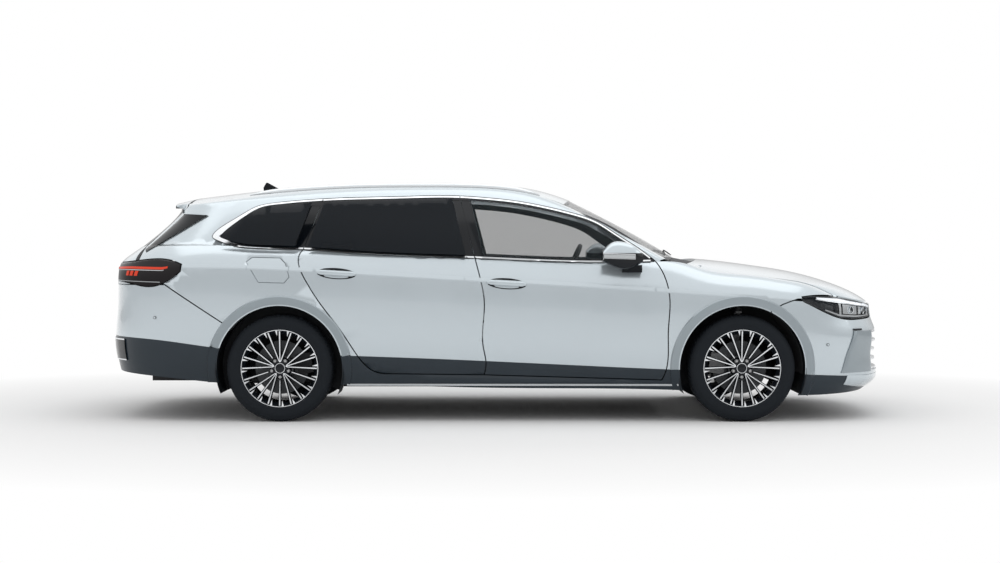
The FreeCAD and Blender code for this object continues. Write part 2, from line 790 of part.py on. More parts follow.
front_door = door_shape(front_door_face, front_glass_room, fwd(-1760), fwd(-430), fwd(-1540), fwd(-560))
rear_door = door_shape(rear_door_face, rear_glass_room, aft(90), fwd(-1540), aft(90), fwd(-1680))

# Fenders

fender_blank = side_solid(straight_edge(fwd(-520)), straight_edge(fwd(640)),
                          [lambda x: 252, crease_z, shoulder_z, belt_z], 0, skin, 20)
fender = fender_blank
for room in [arch_front, prism(grown(front_door_face, panel_gap / 2)),
             prism(grown(bumper_split_front, panel_gap / 2)),
             headlamp_room, body_side]:
    fender = only_solid(fender.cut(room))

# Roof, windscreen, cowl and bonnet

roof_centre_z = smooth_line([(aft(-742), 1361), (aft(-598), 1397), (aft(-434), 1417), (aft(-230), 1443),
                             (aft(-26), 1458), (aft(352), 1483), (aft(686), 1493), (aft(886), 1496),
                             (fwd(-1622), 1491), (fwd(-1420), 1477), (fwd(-1240), 1453), (fwd(-1026), 1380)])
HEADER_X = fwd(-1026)
HEADER_SWEEP = 62
ROOF_END = aft(-600)
ROOF_CROWN = 2.6
DITCH = 0.5


def roof_point(x, across, drop=0.0):
    """A point of the roof skin, across from -1 at the right edge to 1 at the left edge."""
    edge_y = roof_edge_y(x) - DITCH
    top = roof_centre_z(x) + roof_lift
    z = top - (top - roof_edge_z(x)) * abs(across) ** ROOF_CROWN
    return Vec(x, edge_y * across, z + lift - drop)


def roof_surface(drop):
    """The roof's surface, lowered by a drop."""
    def surface(s, t):
        across = 2 * t - 1
        header = HEADER_X - HEADER_SWEEP * across * across
        return roof_point(lerp(ROOF_END, header, s), across, drop)
    return surface


roof = sheet_between([roof_surface(0)], [roof_surface(roof_thickness)], 20, 15)
both_body_sides = [body_side, mirrored(body_side)]
roof = only_solid(roof.cut(both_body_sides))

screen_centre_z = smooth_line([(fwd(-1026), 1380), (fwd(-726), 1228), (fwd(-514), 1110), (fwd(-354), 1013)])
SCREEN_SEAL = 0.6


def screen_point(s, t, depth=0.0):
    """A point of the windscreen, s across and t from the base up to the header."""
    across = 2 * s - 1
    centre_x = lerp(fwd(-360), HEADER_X + SCREEN_SEAL, t)
    edge_x = lerp(fwd(-444), HEADER_X - HEADER_SWEEP + SCREEN_SEAL, t)
    centre = Vec(centre_x, 0, screen_centre_z(centre_x))
    edge = Vec(edge_x, roof_edge_y(edge_x) - SCREEN_SEAL - DITCH, roof_edge_z(edge_x))
    place = centre + (edge - centre) * (across * across)
    place.y = edge.y * across
    place.z += lift
    return place - Vec(0.48, 0, 0.87) * depth


windscreen = sheet_between([lambda s, t: screen_point(s, t)],
                           [lambda s, t: screen_point(s, t, glass_thickness)],
                           14, 8)
windscreen = only_solid(windscreen.cut(both_body_sides + [roof]))

bonnet_centre_z = smooth_line([(fwd(-354), 1003), (fwd(-212), 1000), (fwd(18), 978), (fwd(232), 949),
                               (fwd(384), 925),
                               (fwd(520), 895), (fwd(656), 854), (fwd(792), 800), (fwd(860), 762),
                               (fwd(905), 728)])
bonnet_side_angle = plan_angle(fwd(600), 768)
bonnet_front_z = smooth_line([(bonnet_side_angle, 776), (plan_angle(fwd(736), 740), 748), (0.45, 728),
                              (0.0, 727), (-0.45, 728), (-plan_angle(fwd(736), 740), 748),
                              (-bonnet_side_angle, 776)])


def bonnet_point(s, t, drop=0.0, spread=0.0):
    """A point of the bonnet, s from its rear edge to its front edge and t across."""
    across = 2 * t - 1
    side_x = lerp(fwd(-330), fwd(600), s)
    side_z = belt_z(side_x)
    side_y = belt_y(side_x) * end_shape(side_x, side_z) - panel_gap + spread
    centre_x = lerp(fwd(-205), fwd(905), s)
    blend = abs(across) ** 2.3
    place = Vec(lerp(centre_x, side_x, blend), side_y * across,
                lerp(bonnet_centre_z(centre_x), side_z, blend))
    turn = bonnet_side_angle * across
    front = nose_wrap(turn, bonnet_front_z(turn))
    edge_blend = abs(across) ** 2.3
    plain = Vec(lerp(fwd(905), fwd(600), edge_blend),
                (belt_y(fwd(600)) * end_shape(fwd(600), belt_z(fwd(600))) - panel_gap + spread) * across,
                lerp(bonnet_centre_z(fwd(905)), belt_z(fwd(600)), edge_blend))
    place += (Vec(front.x, front.y, front.z - lift) - plain) * ramp((s - 0.5) * 2)
    return Vec(place.x, place.y, place.z + lift - drop)


bonnet = sheet_between([lambda s, t: bonnet_point(s, t)], [lambda s, t: bonnet_point(s, t, lid_thickness)],
                       18, 15)
LID_ROOM = 6


def bonnet_room_surface(drop):
    """A surface a little larger than the bonnet, lowered by a drop."""
    def surface(s, t):
        return bonnet_point(lerp(-0.008, 1.008, s), lerp(-0.006, 1.006, t), drop)
    return surface


bonnet_room = sheet_between([bonnet_room_surface(-40)], [bonnet_room_surface(lid_thickness + LID_ROOM)], 18,
                            15)

COWL_DROP = 12


def cowl_point(s, t, drop):
    """The cowl panel between the windscreen's foot and the bonnet's rear edge."""
    across = 2 * s - 1
    foot = screen_point(s * 0.98 + 0.01, 0, glass_thickness + 2)
    lip = bonnet_point(0, s * 0.97 + 0.015, lid_thickness + LID_ROOM + 3)
    lip.x += 30
    place = foot + (lip - foot) * t
    return Vec(place.x, place.y, place.z - drop)


cowl = sheet_between([lambda s, t: cowl_point(s, t, 0)], [lambda s, t: cowl_point(s, t, COWL_DROP)], 14, 6)
BONNET_AXIS_X = fwd(-428)
BONNET_AXIS_Z = 912 + lift
BONNET_ARM_Y = 722
BONNET_ARM_HALF = 7
BONNET_EYE = 10
BONNET_PIN = 5
arm_low = BONNET_ARM_Y - BONNET_ARM_HALF
arm_high = BONNET_ARM_Y + BONNET_ARM_HALF
bonnet_arm = box((BONNET_AXIS_X, arm_low, BONNET_AXIS_Z - 8),
                 (BONNET_AXIS_X + 196, arm_high, BONNET_AXIS_Z + 8))
bonnet_riser = box((BONNET_AXIS_X + 168, arm_low, BONNET_AXIS_Z - 8),
                   (BONNET_AXIS_X + 196, arm_high, BONNET_AXIS_Z + 48))
bonnet_eye = cylinder((BONNET_AXIS_X, arm_low, BONNET_AXIS_Z), (BONNET_AXIS_X, arm_high, BONNET_AXIS_Z),
                      BONNET_EYE)
bonnet_bore = cylinder((BONNET_AXIS_X, arm_low - 5, BONNET_AXIS_Z),
                       (BONNET_AXIS_X, arm_high + 5, BONNET_AXIS_Z),
                       BONNET_PIN + seal_gap)
bonnet_hinge = only_solid(bonnet_arm.fuse([bonnet_riser, bonnet_eye]).cut(bonnet_bore))
bonnet = only_solid(bonnet.fuse([bonnet_hinge, mirrored(bonnet_hinge)]))
arm_slot = box((BONNET_AXIS_X - 16, arm_low - 6, 800), (fwd(0), arm_high + 6, 1200))
for room in [bonnet_room, arm_slot, mirrored(arm_slot)] + both_body_sides:
    cowl = only_solid(cowl.cut(room))

# Bumpers, grille and lamps

front_turn = math.radians(79)
GRILLE_LOW = 300
GRILLE_HIGH = 556
GRILLE_HALF_WIDTH = 660


def nose_low(turn):
    """The front bumper's lower edge by wrap angle."""
    return sill_z(nose_wrap(turn, 200).x)


def nose_crease(turn):
    """The low crease round the nose by wrap angle."""
    return crease_z(nose_wrap(turn, 300).x)


def nose_high(turn):
    """The front bumper's upper edge by wrap angle."""
    return min(shoulder_z(nose_wrap(turn, 700).x), bonnet_front_z(min(max(turn, -0.9), 0.9)) - panel_gap)


bumper_blank = wrap_sheet(nose_wrap, -front_turn, front_turn, [nose_low, nose_crease, nose_high], 0, skin,
                          30, 12)
arches_front = [arch_front, mirrored(arch_front)]
corner_rooms = [prism(grown(fender_split, panel_gap / 2))]
grille_room = box((nose_x - 260, -GRILLE_HALF_WIDTH, GRILLE_LOW + lift),
                  (nose_x + 200, GRILLE_HALF_WIDTH, GRILLE_HIGH + lift))
front_bumper = bumper_blank
for room in [headlamp_room, mirrored(headlamp_room), arch_front, mirrored(arch_front), corner_rooms[0],
             mirrored(corner_rooms[0]), grille_room, bonnet_room]:
    front_bumper = only_solid(front_bumper.cut(room))
headlamp = only_solid(headlamp.cut(bonnet_room))
fender = only_solid(fender.cut(bonnet_room))

grille_turn = math.atan2(0.70, (1 - 0.70 ** NOSE_POWER) ** (1 / NOSE_POWER))
grille_back = wrap_sheet(nose_wrap, -grille_turn - 0.04, grille_turn + 0.04,
                         [GRILLE_LOW - 10, GRILLE_HIGH + 10],
                         skin + 34, 8, 16, 5)
surround = wrap_sheet(nose_wrap, -grille_turn - 0.03, grille_turn + 0.03, [GRILLE_LOW - 8, GRILLE_HIGH + 8],
                      skin + 2, 36, 16, 5)
surround_room = wrap_sheet(nose_wrap, -grille_turn + 0.01, grille_turn - 0.01,
                           [GRILLE_LOW + 2, GRILLE_HIGH - 2],
                           -20, 120, 16, 5)
surround = only_solid(surround.cut(surround_room))
FIN_COUNT = 5
fins = []
for number in range(FIN_COUNT):
    fin_z = lerp(GRILLE_LOW + 12, GRILLE_HIGH - 14, number / (FIN_COUNT - 1))
    fins.append(wrap_sheet(nose_wrap, -grille_turn + 0.005, grille_turn - 0.005, [fin_z - 5, fin_z + 5], 7,
                           skin + 32, 16, 4))
grille = only_solid(grille_back.fuse([surround] + fins))
grille = only_solid(grille.cut(front_bumper))

rear_turn = math.radians(82)
TAIL_TOP = 842
GATE_FOOT = 648
GATE_HALF_WIDTH = 560


def tail_low(turn):
    """The rear bumper's lower edge by wrap angle."""
    return sill_z(tail_wrap(turn, 300).x)


def tail_crease(turn):
    """The low crease round the tail by wrap angle."""
    return crease_z(tail_wrap(turn, 500).x)


rear_bumper = wrap_sheet(tail_wrap, -rear_turn, rear_turn, [tail_low, tail_crease, TAIL_TOP - 3], 0, skin,
                         30, 7)
corner_room = prism(grown(quarter_split, panel_gap / 2))
gate_room = box((tail_x - 200, -GATE_HALF_WIDTH - panel_gap, GATE_FOOT - panel_gap + lift),
                (aft(-500), GATE_HALF_WIDTH + panel_gap, HIGH))
for room in [arch_rear, mirrored(arch_rear), corner_room, mirrored(corner_room), gate_room, tail_lamp_room,
             mirrored(tail_lamp_room)] + both_body_sides:
    rear_bumper = only_solid(rear_bumper.cut(room))

# Tailgate

SPOILER_END = aft(-742)
TAILGATE_GAP = 16
tail_shut = [(z, plan_angle(REAR_EDGE(z) - panel_gap, z)) for z in (985, 1030, 1064, 1120, 1180, 1230, 1280,
                                                                    1345)]
tail_shut_angle = smooth_line(tail_shut)


def gate_edge(z):
    """The wrap angle of the tailgate's shut line at a height."""
    return tail_shut_angle(max(z, 985))


tailgate = wrap_sheet(tail_wrap, lambda z: -gate_edge(z), gate_edge, [GATE_FOOT, TAIL_TOP, 985, 1064, 1345],
                      0,
                      tailgate_thickness, 18, 7)
gate_corner = box((tail_x - 200, GATE_HALF_WIDTH, LOW), (aft(-500), WIDE, TAIL_TOP + 3 + lift))
for room in [tail_lamp_room, mirrored(tail_lamp_room), gate_corner, mirrored(gate_corner)]:
    tailgate = only_solid(tailgate.cut(room))


def back_glass_edge(z):
    """The wrap angle of the rear glass's edge at a height."""
    return gate_edge(z) - 0.10


glass_room = wrap_sheet(tail_wrap, lambda z: -back_glass_edge(z), back_glass_edge, [1078, 1310], -30, 140,
                        12, 7)
back_glass = wrap_sheet(tail_wrap, lambda z: -back_glass_edge(z) + 0.004,
                        lambda z: back_glass_edge(z) - 0.004,
                        [1079, 1309], 3, glass_thickness, 12, 7)
tailgate = only_solid(tailgate.cut(glass_room))


def spoiler_surface(drop):
    """The spoiler's surface behind the roof, lowered by a drop."""
    def surface(s, t):
        across = 2 * t - 1
        x = lerp(SPOILER_END + 40 * across * across, ROOF_END - TAILGATE_GAP, s)
        return roof_point(x, across, drop * lerp(0.55, 1, s))
    return surface


spoiler = sheet_between([spoiler_surface(0)], [spoiler_surface(34)], 6, 13)
head_room = box((ROOF_END - TAILGATE_GAP, -WIDE, 1200), (aft(0), WIDE, HIGH))
tailgate = only_solid(tailgate.cut(head_room))
tailgate = only_solid(tailgate.fuse(spoiler))
GATE_AXIS_X = ROOF_END - 5
GATE_AXIS_Z = 1390 + lift + roof_lift
GATE_EYE = 5
GATE_PIN = 2.5
gate_ears = []
gate_bores = []
gate_pins = []
gate_notches = []
for side in (1, -1):
    near, far = sorted((side * 130, side * 170))
    gate_ears.append(cylinder((GATE_AXIS_X, near, GATE_AXIS_Z), (GATE_AXIS_X, far, GATE_AXIS_Z), GATE_EYE))
    gate_ears.append(box((ROOF_END - 24, near, GATE_AXIS_Z - 5), (GATE_AXIS_X, far, GATE_AXIS_Z + 3)))
    gate_bores.append(cylinder((GATE_AXIS_X, near - 5, GATE_AXIS_Z), (GATE_AXIS_X, far + 5, GATE_AXIS_Z),
                               GATE_PIN + seal_gap))
    gate_notches.append(box((ROOF_END - 8, near - 4, 1340), (ROOF_END + 6, far + 4, HIGH)))
    gate_pins.append(cylinder((GATE_AXIS_X, near - 12, GATE_AXIS_Z), (GATE_AXIS_X, far + 12, GATE_AXIS_Z),
                              GATE_PIN))
    for low_y, high_y in ((near - 14, near - 4), (far + 4, far + 14)):
        gate_pins.append(box((GATE_AXIS_X - 4, low_y, GATE_AXIS_Z - 4),
                             (ROOF_END + 4, high_y, GATE_AXIS_Z + 3.5)))
tailgate = only_solid(tailgate.fuse(gate_ears))
tailgate = only_solid(tailgate.cut(gate_bores))
for room in both_body_sides:
    tailgate = only_solid(tailgate.cut(room))
roof = only_solid(roof.cut(gate_notches))
roof = only_solid(roof.fuse(gate_pins))
GATE_LAMP_START = 0.30
gate_lamp = wrap_sheet(tail_wrap, GATE_LAMP_START, tail_split - 0.012, [tail_base, tail_top], 2, 20, 8, 5)
gate_lamp_room = wrap_sheet(tail_wrap, GATE_LAMP_START - 0.001, tail_split + 0.1,
                            [lambda w: tail_base(w) - seal_gap, lambda w: tail_top(w) + seal_gap], -20,
                            42 + seal_gap, 8, 5)
tailgate = only_solid(tailgate.cut([gate_lamp_room, mirrored(gate_lamp_room)]))

# Glass in the doors and the quarters

def side_glass(face, rear, front):
    """A side window's glass, set in from the body's surface."""
    sheet_of_glass = side_solid(straight_edge(rear), straight_edge(front),
                                [lambda x: belt_z(x) + 4, lambda x: cant_z(x) + 20], glass_inset,
                                glass_thickness, 14)
    return only_solid(sheet_of_glass.common(prism(grown(face, -seal_gap))))


front_glass = side_glass(front_window_face, fwd(-1760), fwd(-560))
rear_glass = side_glass(rear_window_face, aft(60), fwd(-1640))
quarter_glass = side_glass(quarter_window_face, aft(-480), aft(260))

# Fuel flap, on the right side

FLAP_GAP = 3.5
FLAP_POCKET = 48
FLAP_AXIS_DEPTH = 3.5
FLAP_BARREL = 3.2
FLAP_PIN = 1.5
flap_range = (straight_edge(aft(-240)), straight_edge(aft(100)))
flap_lines = [lambda x: 800, shoulder_z, belt_z]
flap_slab = side_solid(*flap_range, flap_lines, 0, 3, 8)
flap_room_slab = side_solid(*flap_range, flap_lines, -30, 30 + FLAP_POCKET, 8)
flap_room = flap_room_slab.common(prism(flap_face))
FLAP_HINGE = aft(28)
flap_axis_y = flank(FLAP_HINGE, 925).y - FLAP_AXIS_DEPTH
flap_pin = cylinder((FLAP_HINGE, flap_axis_y, 880), (FLAP_HINGE, flap_axis_y, 934), FLAP_PIN)
flap_lugs = [box((FLAP_HINGE - 6, flap_axis_y - FLAP_POCKET, low),
                 (FLAP_HINGE + 0.2, flap_axis_y - 0.5, low + 5))
             for low in (878, 930)]
flap_plate = only_solid(flap_slab.common(prism(grown(flap_face, -FLAP_GAP))))
flap_barrel = cylinder((FLAP_HINGE, flap_axis_y, 887), (FLAP_HINGE, flap_axis_y, 926), FLAP_BARREL)
fuel_flap = flap_plate.fuse(flap_barrel).cut(cylinder((FLAP_HINGE, flap_axis_y, 800),
                                                      (FLAP_HINGE, flap_axis_y, 1000), FLAP_PIN + seal_gap))
fuel_flap = mirrored(only_solid(fuel_flap))
body_side_flap = only_solid(body_side.cut(flap_room))
body_side_flap = only_solid(body_side_flap.fuse([flap_pin] + flap_lugs))

# Door hinges

FRONT_HINGE_X = fwd(-518)
REAR_HINGE_X = fwd(-1624)
HINGE_Y = half_width - 27
HINGE_HEIGHTS = (430, 740)


def door_with_hinges(door, hinge_x):
    """The door with two hinge eyes that turn on pins, and the pins' brackets for the body side."""
    leaves = []
    brackets = []
    bores = []
    for height in HINGE_HEIGHTS:
        leaves.append(cylinder((hinge_x, HINGE_Y, height), (hinge_x, HINGE_Y, height + 36), 15))
        leaves.append(box((hinge_x - 62, HINGE_Y - 16, height), (hinge_x, HINGE_Y - 2, height + 36)))
        bores.append(cylinder((hinge_x, HINGE_Y, height - 5), (hinge_x, HINGE_Y, height + 41),
                              hinge_pin_radius + seal_gap))
        brackets.append(cylinder((hinge_x, HINGE_Y, height - 16), (hinge_x, HINGE_Y, height + 34),
                                 hinge_pin_radius))
        brackets.append(box((hinge_x - 10, HINGE_Y - 98, height - 16),
                            (hinge_x + 10, HINGE_Y + 5, height - 3)))
    door = only_solid(door.fuse(leaves))
    door = only_solid(door.cut(bores))
    return door, brackets


front_door, front_brackets = door_with_hinges(front_door, FRONT_HINGE_X)
rear_door, rear_brackets = door_with_hinges(rear_door, REAR_HINGE_X)
body_side = only_solid(body_side.fuse(front_brackets + rear_brackets))
body_side_flap = only_solid(body_side_flap.fuse(front_brackets + rear_brackets))

# Mirrors

MIRROR_Y = half_width + 44
MIRROR_HALF = 66
MIRROR_EDGE = 3
mirror_top = smooth_line([(fwd(-862), 1050), (fwd(-830), 1086), (fwd(-766), 1106), (fwd(-700), 1092),
                          (fwd(-640), 1054), (fwd(-618), 1024)])
mirror_base = smooth_line([(fwd(-862), 985), (fwd(-800), 955), (fwd(-740), 938), (fwd(-680), 950),
                           (fwd(-618), 985)])
mirror_width = smooth_line([(fwd(-862), 0.9), (fwd(-800), 1.0), (fwd(-720), 0.92), (fwd(-650), 0.62),
                            (fwd(-618), 0.3)])


def mirror_surface(line, way):
    """The upper or lower half of a mirror housing."""
    def surface(s, t):
        x = lerp(fwd(-862), fwd(-618), s)
        across = 2 * t - 1
        middle = (mirror_top(x) + mirror_base(x)) / 2
        reach = (line(x) - middle) * (1 - abs(across) ** 2.6) ** (1 / 2.6)
        return Vec(x, MIRROR_Y + MIRROR_HALF * mirror_width(x) * across,
                   middle + reach + way * MIRROR_EDGE + lift)
    return surface


housing = sheet_between([mirror_surface(mirror_top, 1)], [mirror_surface(mirror_base, -1)], 12, 12)
foot = box((fwd(-742), HINGE_Y - 60, 918 + lift), (fwd(-622), MIRROR_Y - 4, 964 + lift))
mirror = only_solid(housing.fuse(foot))
door_skin_room = side_solid(straight_edge(fwd(-900)), straight_edge(fwd(-560)),
                            [lambda x: 780, shoulder_z, belt_z, lambda x: 1300], -seal_gap, 200, 10)
mirror = only_solid(mirror.cut(door_skin_room))

# Roof rails and fin

RAIL_WIDTH = 26
RAIL_INSET = 10
RAIL_RISE = 22


def rail_surface(top):
    """The upper or lower surface of a roof rail."""
    def surface(s, t):
        x = lerp(aft(-232), fwd(-1235), s)
        edge_y = roof_edge_y(x) - DITCH
        y = edge_y - RAIL_INSET - RAIL_WIDTH * (1 - t)
        base = roof_point(x, y / edge_y)
        rise = RAIL_RISE * (1 - (2 * t - 1) ** 2 * 0.6) * ramp(s * 12) ** 0.5 * ramp((1 - s) * 12) ** 0.5
        return Vec(x, y, base.z + 0.4 + (3 + rise if top else 0))
    return surface


rail = sheet_between([rail_surface(True)], [rail_surface(False)], 24, 6)
fin_points = [(aft(-220), 1430), (aft(-224), 1472), (aft(-206), 1504), (aft(-196), 1505), (aft(-132), 1470),
              (aft(-92), 1448)]
fin = prism(polygon(*[(x, z + roof_lift) for x, z in fin_points]), -14, 14)
fin = max(fin.cut(roof).Solids, key=lambda solid: solid.CenterOfMass.z)

# Floor pan with firewall, wheel houses and rails

floor_z = size("floor_height") + lift
floor_top = floor_z + size("floor_thickness")
floor_half = half_width - 66 - inner_depth - inner_thickness
HOUSE_WALL = 6
FRONT_HOUSE_Y = track_half - kingpin_offset - 245
REAR_HOUSE_Y = track_half - tyre_width / 2 - 30
HOUSE_OUTER = half_width - 14 - inner_depth - inner_thickness
FIREWALL_X = fwd(-462)
REAR_FLOOR_Z = 340 + lift


def wheel_house(centre_x, inner_y, outer_y, foot_z):
    """An arched tunnel over the wheel, closed towards the middle of the car."""
    outer = cylinder((centre_x, inner_y - HOUSE_WALL, axle_height), (centre_x, outer_y, axle_height),
                     arch_radius + HOUSE_WALL)
    hollow = cylinder((centre_x, inner_y, axle_height), (centre_x, outer_y + 10, axle_height), arch_radius)
    house = outer.cut(hollow)
    return only_solid(house.common(box((centre_x - 900, 0, foot_z), (centre_x + 900, WIDE, HIGH))))


front_house = wheel_house(front_axle, FRONT_HOUSE_Y, HOUSE_OUTER, axle_height - 40)
rear_house = wheel_house(rear_axle, REAR_HOUSE_Y, HOUSE_OUTER, axle_height + 60)
CROSS_X = fwd(760)
SHELF_X = aft(-1020)
floor_parts = [
    box((aft(380), -floor_half, floor_z), (FIREWALL_X + 12, floor_half, floor_top)),
    box((aft(350), -REAR_HOUSE_Y + 4, floor_z), (aft(380) + 20, REAR_HOUSE_Y - 4, REAR_FLOOR_Z + 30)),
    box((SHELF_X, -REAR_HOUSE_Y + 4, REAR_FLOOR_Z), (aft(370), REAR_HOUSE_Y - 4, REAR_FLOOR_Z + 30)),
    box((SHELF_X, -GATE_HALF_WIDTH, REAR_FLOOR_Z), (SHELF_X + 14, GATE_HALF_WIDTH, GATE_FOOT - 12)),
    box((FIREWALL_X, -floor_half, floor_z), (FIREWALL_X + 12, floor_half, 900 + lift)),
    box((aft(400), -110, floor_top - 5), (FIREWALL_X + 5, 110, floor_top + 110)),
]
for side in (1, -1):
    rail_low = sorted((side * (FRONT_HOUSE_Y - 60), side * (FRONT_HOUSE_Y - 2)))
    floor_parts.append(box((FIREWALL_X + 5, rail_low[0], 440 + lift), (CROSS_X, rail_low[1], 540 + lift)))
floor_parts.append(box((CROSS_X - 30, -590, 270 + lift), (CROSS_X, 590, 660 + lift)))
floor_parts += [front_house, mirrored(front_house), rear_house, mirrored(rear_house)]
tunnel_room = box((aft(300), -70, LOW), (FIREWALL_X - 20, 70, floor_top + 80))
floor_pan = floor_parts[0].fuse(floor_parts[1:])
floor_pan = only_solid(floor_pan.cut(tunnel_room))

# Engine, subframe, knuckles and rear axle

ENGINE_Z = 332 + lift
engine = box((fwd(-240), -360, ENGINE_Z), (fwd(400), 360, 790 + lift))
KINGPIN_Y = track_half - kingpin_offset
ARM_Z = 196
ARM_ROOT_Y = 390
ARM_ROOT_Z = 250
ARM_RADIUS = 15
BALL_RADIUS = 24
STUD_RADIUS = 9
UPPER_Z = axle_height + tyre_radius + 20
subframe_parts = [box((fwd(-130), -400, 236), (fwd(130), 400, ENGINE_Z - seal_gap))]
for side in (1, -1):
    ball_y = side * KINGPIN_Y
    for way in (-1, 1):
        subframe_parts.append(cylinder((front_axle + way * 60, side * ARM_ROOT_Y, ARM_ROOT_Z),
                                       (front_axle + way * 4, ball_y, ARM_Z + 6), ARM_RADIUS))
    subframe_parts.append(cylinder((front_axle, ball_y, ARM_Z - 12), (front_axle, ball_y, ARM_Z + 14),
                                   BALL_RADIUS))
    subframe_parts.append(cylinder((front_axle, ball_y, ARM_Z), (front_axle, ball_y, ARM_Z + 44),
                                   STUD_RADIUS))
subframe = only_solid(subframe_parts[0].fuse(subframe_parts[1:]))
upper_arm = box((front_axle - 22, FRONT_HOUSE_Y - 3, UPPER_Z), (front_axle + 22, KINGPIN_Y, UPPER_Z + 18))
upper_arm = upper_arm.fuse(cylinder((front_axle, KINGPIN_Y, UPPER_Z), (front_axle, KINGPIN_Y, UPPER_Z + 18),
                                    22))
upper_arm = upper_arm.cut(cylinder((front_axle, KINGPIN_Y, UPPER_Z - 5),
                                   (front_axle, KINGPIN_Y, UPPER_Z + 30), 9 + seal_gap))
floor_pan = only_solid(floor_pan.fuse([upper_arm, mirrored(upper_arm)]))
spindle_radius = size("spindle_radius")
disc_radius = size("disc_radius")
disc_thickness = size("disc_thickness")
DISC_Y = KINGPIN_Y + 24
FACE_Y = track_half + 40
SPINDLE_END = FACE_Y - 10


def hub_carrier(axle_x, turn):
    """Carrier, spindle and brake caliper of one left wheel; the caliper stands at an angle round the hub."""
    carrier = cylinder((axle_x, KINGPIN_Y - 36, axle_height), (axle_x, DISC_Y - 6, axle_height), 46)
    spindle = cylinder((axle_x, KINGPIN_Y, axle_height), (axle_x, SPINDLE_END, axle_height), spindle_radius)
    jaw = box((axle_x - 62, DISC_Y - 34, axle_height + 96),
              (axle_x + 62, DISC_Y + disc_thickness + 24, axle_height + 192))
    slot = cylinder((axle_x, DISC_Y - 6, axle_height), (axle_x, DISC_Y + disc_thickness + 6, axle_height),
                    disc_radius + 8)
    jaw = only_solid(jaw.cut(slot))
    bridge = box((axle_x - 22, DISC_Y - 34, axle_height), (axle_x + 22, DISC_Y - 8, axle_height + 110))
    jaw = only_solid(jaw.fuse(bridge))
    jaw.rotate(Vec(axle_x, 0, axle_height), Vec(0, 1, 0), turn)
    return only_solid(carrier.fuse([spindle, jaw]))


carrier = hub_carrier(front_axle, -80)
neck_y = track_half - tyre_width / 2 - 34
neck = box((front_axle - 18, neck_y - 16, axle_height - 20), (front_axle + 18, neck_y + 14, UPPER_Z - 4))
neck_top = box((front_axle - 18, neck_y - 16, UPPER_Z - 14), (front_axle + 18, KINGPIN_Y + 10, UPPER_Z - 4))
neck_foot = box((front_axle - 22, neck_y - 16, axle_height - 36),
                (front_axle + 22, KINGPIN_Y, axle_height + 36))
upper_stud = cylinder((front_axle, KINGPIN_Y, UPPER_Z - 8), (front_axle, KINGPIN_Y, UPPER_Z + 22), 9)
lower_boss = box((front_axle - 24, KINGPIN_Y - 22, ARM_Z + 30),
                 (front_axle + 24, KINGPIN_Y + 14, axle_height))
lower_bore = cylinder((front_axle, KINGPIN_Y, ARM_Z), (front_axle, KINGPIN_Y, ARM_Z + 50), 9 + seal_gap)
knuckle = carrier.fuse([neck, neck_top, neck_foot, upper_stud, lower_boss])
knuckle = only_solid(knuckle.cut(lower_bore))

rear_carrier = hub_carrier(rear_axle, 80)
rear_parts = [box((rear_axle - 60, -460, 250), (rear_axle + 60, 460, REAR_FLOOR_Z - seal_gap))]
for side in (1, -1):
    link_end = side * (KINGPIN_Y - 10)
    rear_parts.append(cylinder((rear_axle - 20, side * 440, 290),
                               (rear_axle - 20, link_end, axle_height - 10), 18))
    rear_parts.append(cylinder((rear_axle + 40, side * 440, 270),
                               (rear_axle + 10, link_end, axle_height - 20), 15))
    rear_parts.append(cylinder((rear_axle + 340, side * 560, 262),
                               (rear_axle + 10, side * (KINGPIN_Y - 20), axle_height - 20), 17))
rear_parts += [rear_carrier, mirrored(rear_carrier)]
rear_axle_shape = only_solid(rear_parts[0].fuse(rear_parts[1:]))

# Wheels

rim_radius = size("rim_radius")
rim_half = size("rim_width") / 2
tyre_half = tyre_width / 2


def turned(points, axis_y=0.0):
    """A solid of revolution about the Y axis from (radius, y) points."""
    wire = Part.makePolygon([Vec(radius, y, 0) for radius, y in points + points[:1]])
    return Part.Face(wire).revolve(Vec(0, 0, 0), Vec(0, 1, 0), 360)


BEAD = rim_radius - 12
seat_half = rim_half - 10 - seal_gap
lip_half = rim_half + seal_gap
tyre_section = [(BEAD, seat_half), (BEAD, -seat_half), (rim_radius + 1, -rim_half + 8),
                (rim_radius + 1, -lip_half),
                (BEAD + 34, -tyre_half + 3), (BEAD + 55, -tyre_half), (tyre_radius - 26, -tyre_half + 4),
                (tyre_radius - 8, -tyre_half + 18), (tyre_radius, -tyre_half + 42),
                (tyre_radius, tyre_half - 42),
                (tyre_radius - 8, tyre_half - 18), (tyre_radius - 26, tyre_half - 4), (BEAD + 55, tyre_half),
                (BEAD + 34, tyre_half - 3), (rim_radius + 1, lip_half), (rim_radius + 1, rim_half - 8)]
tyre = turned(tyre_section)
barrel = turned([(BEAD - 14, -rim_half + 4), (rim_radius, -rim_half + 4), (rim_radius, -rim_half + 8),
                 (BEAD - seal_gap, -rim_half + 10), (BEAD - seal_gap, rim_half - 10),
                 (rim_radius, rim_half - 8),
                 (rim_radius, rim_half - 2), (BEAD - 16, rim_half - 2), (BEAD - 20, rim_half - 30),
                 (BEAD - 14, rim_half - 60)])
FACE = FACE_Y - track_half
hub_pad = cylinder((0, FACE, 0), (0, FACE + 42, 0), 62)
hat = cylinder((0, DISC_Y - track_half, 0), (0, FACE + 4, 0), 78)
disc = cylinder((0, DISC_Y - track_half, 0), (0, DISC_Y - track_half + disc_thickness, 0), disc_radius)
bore = cylinder((0, DISC_Y - track_half - 5, 0), (0, SPINDLE_END - track_half + seal_gap, 0),
                spindle_radius + seal_gap)
SPOKE_GROUPS = 5


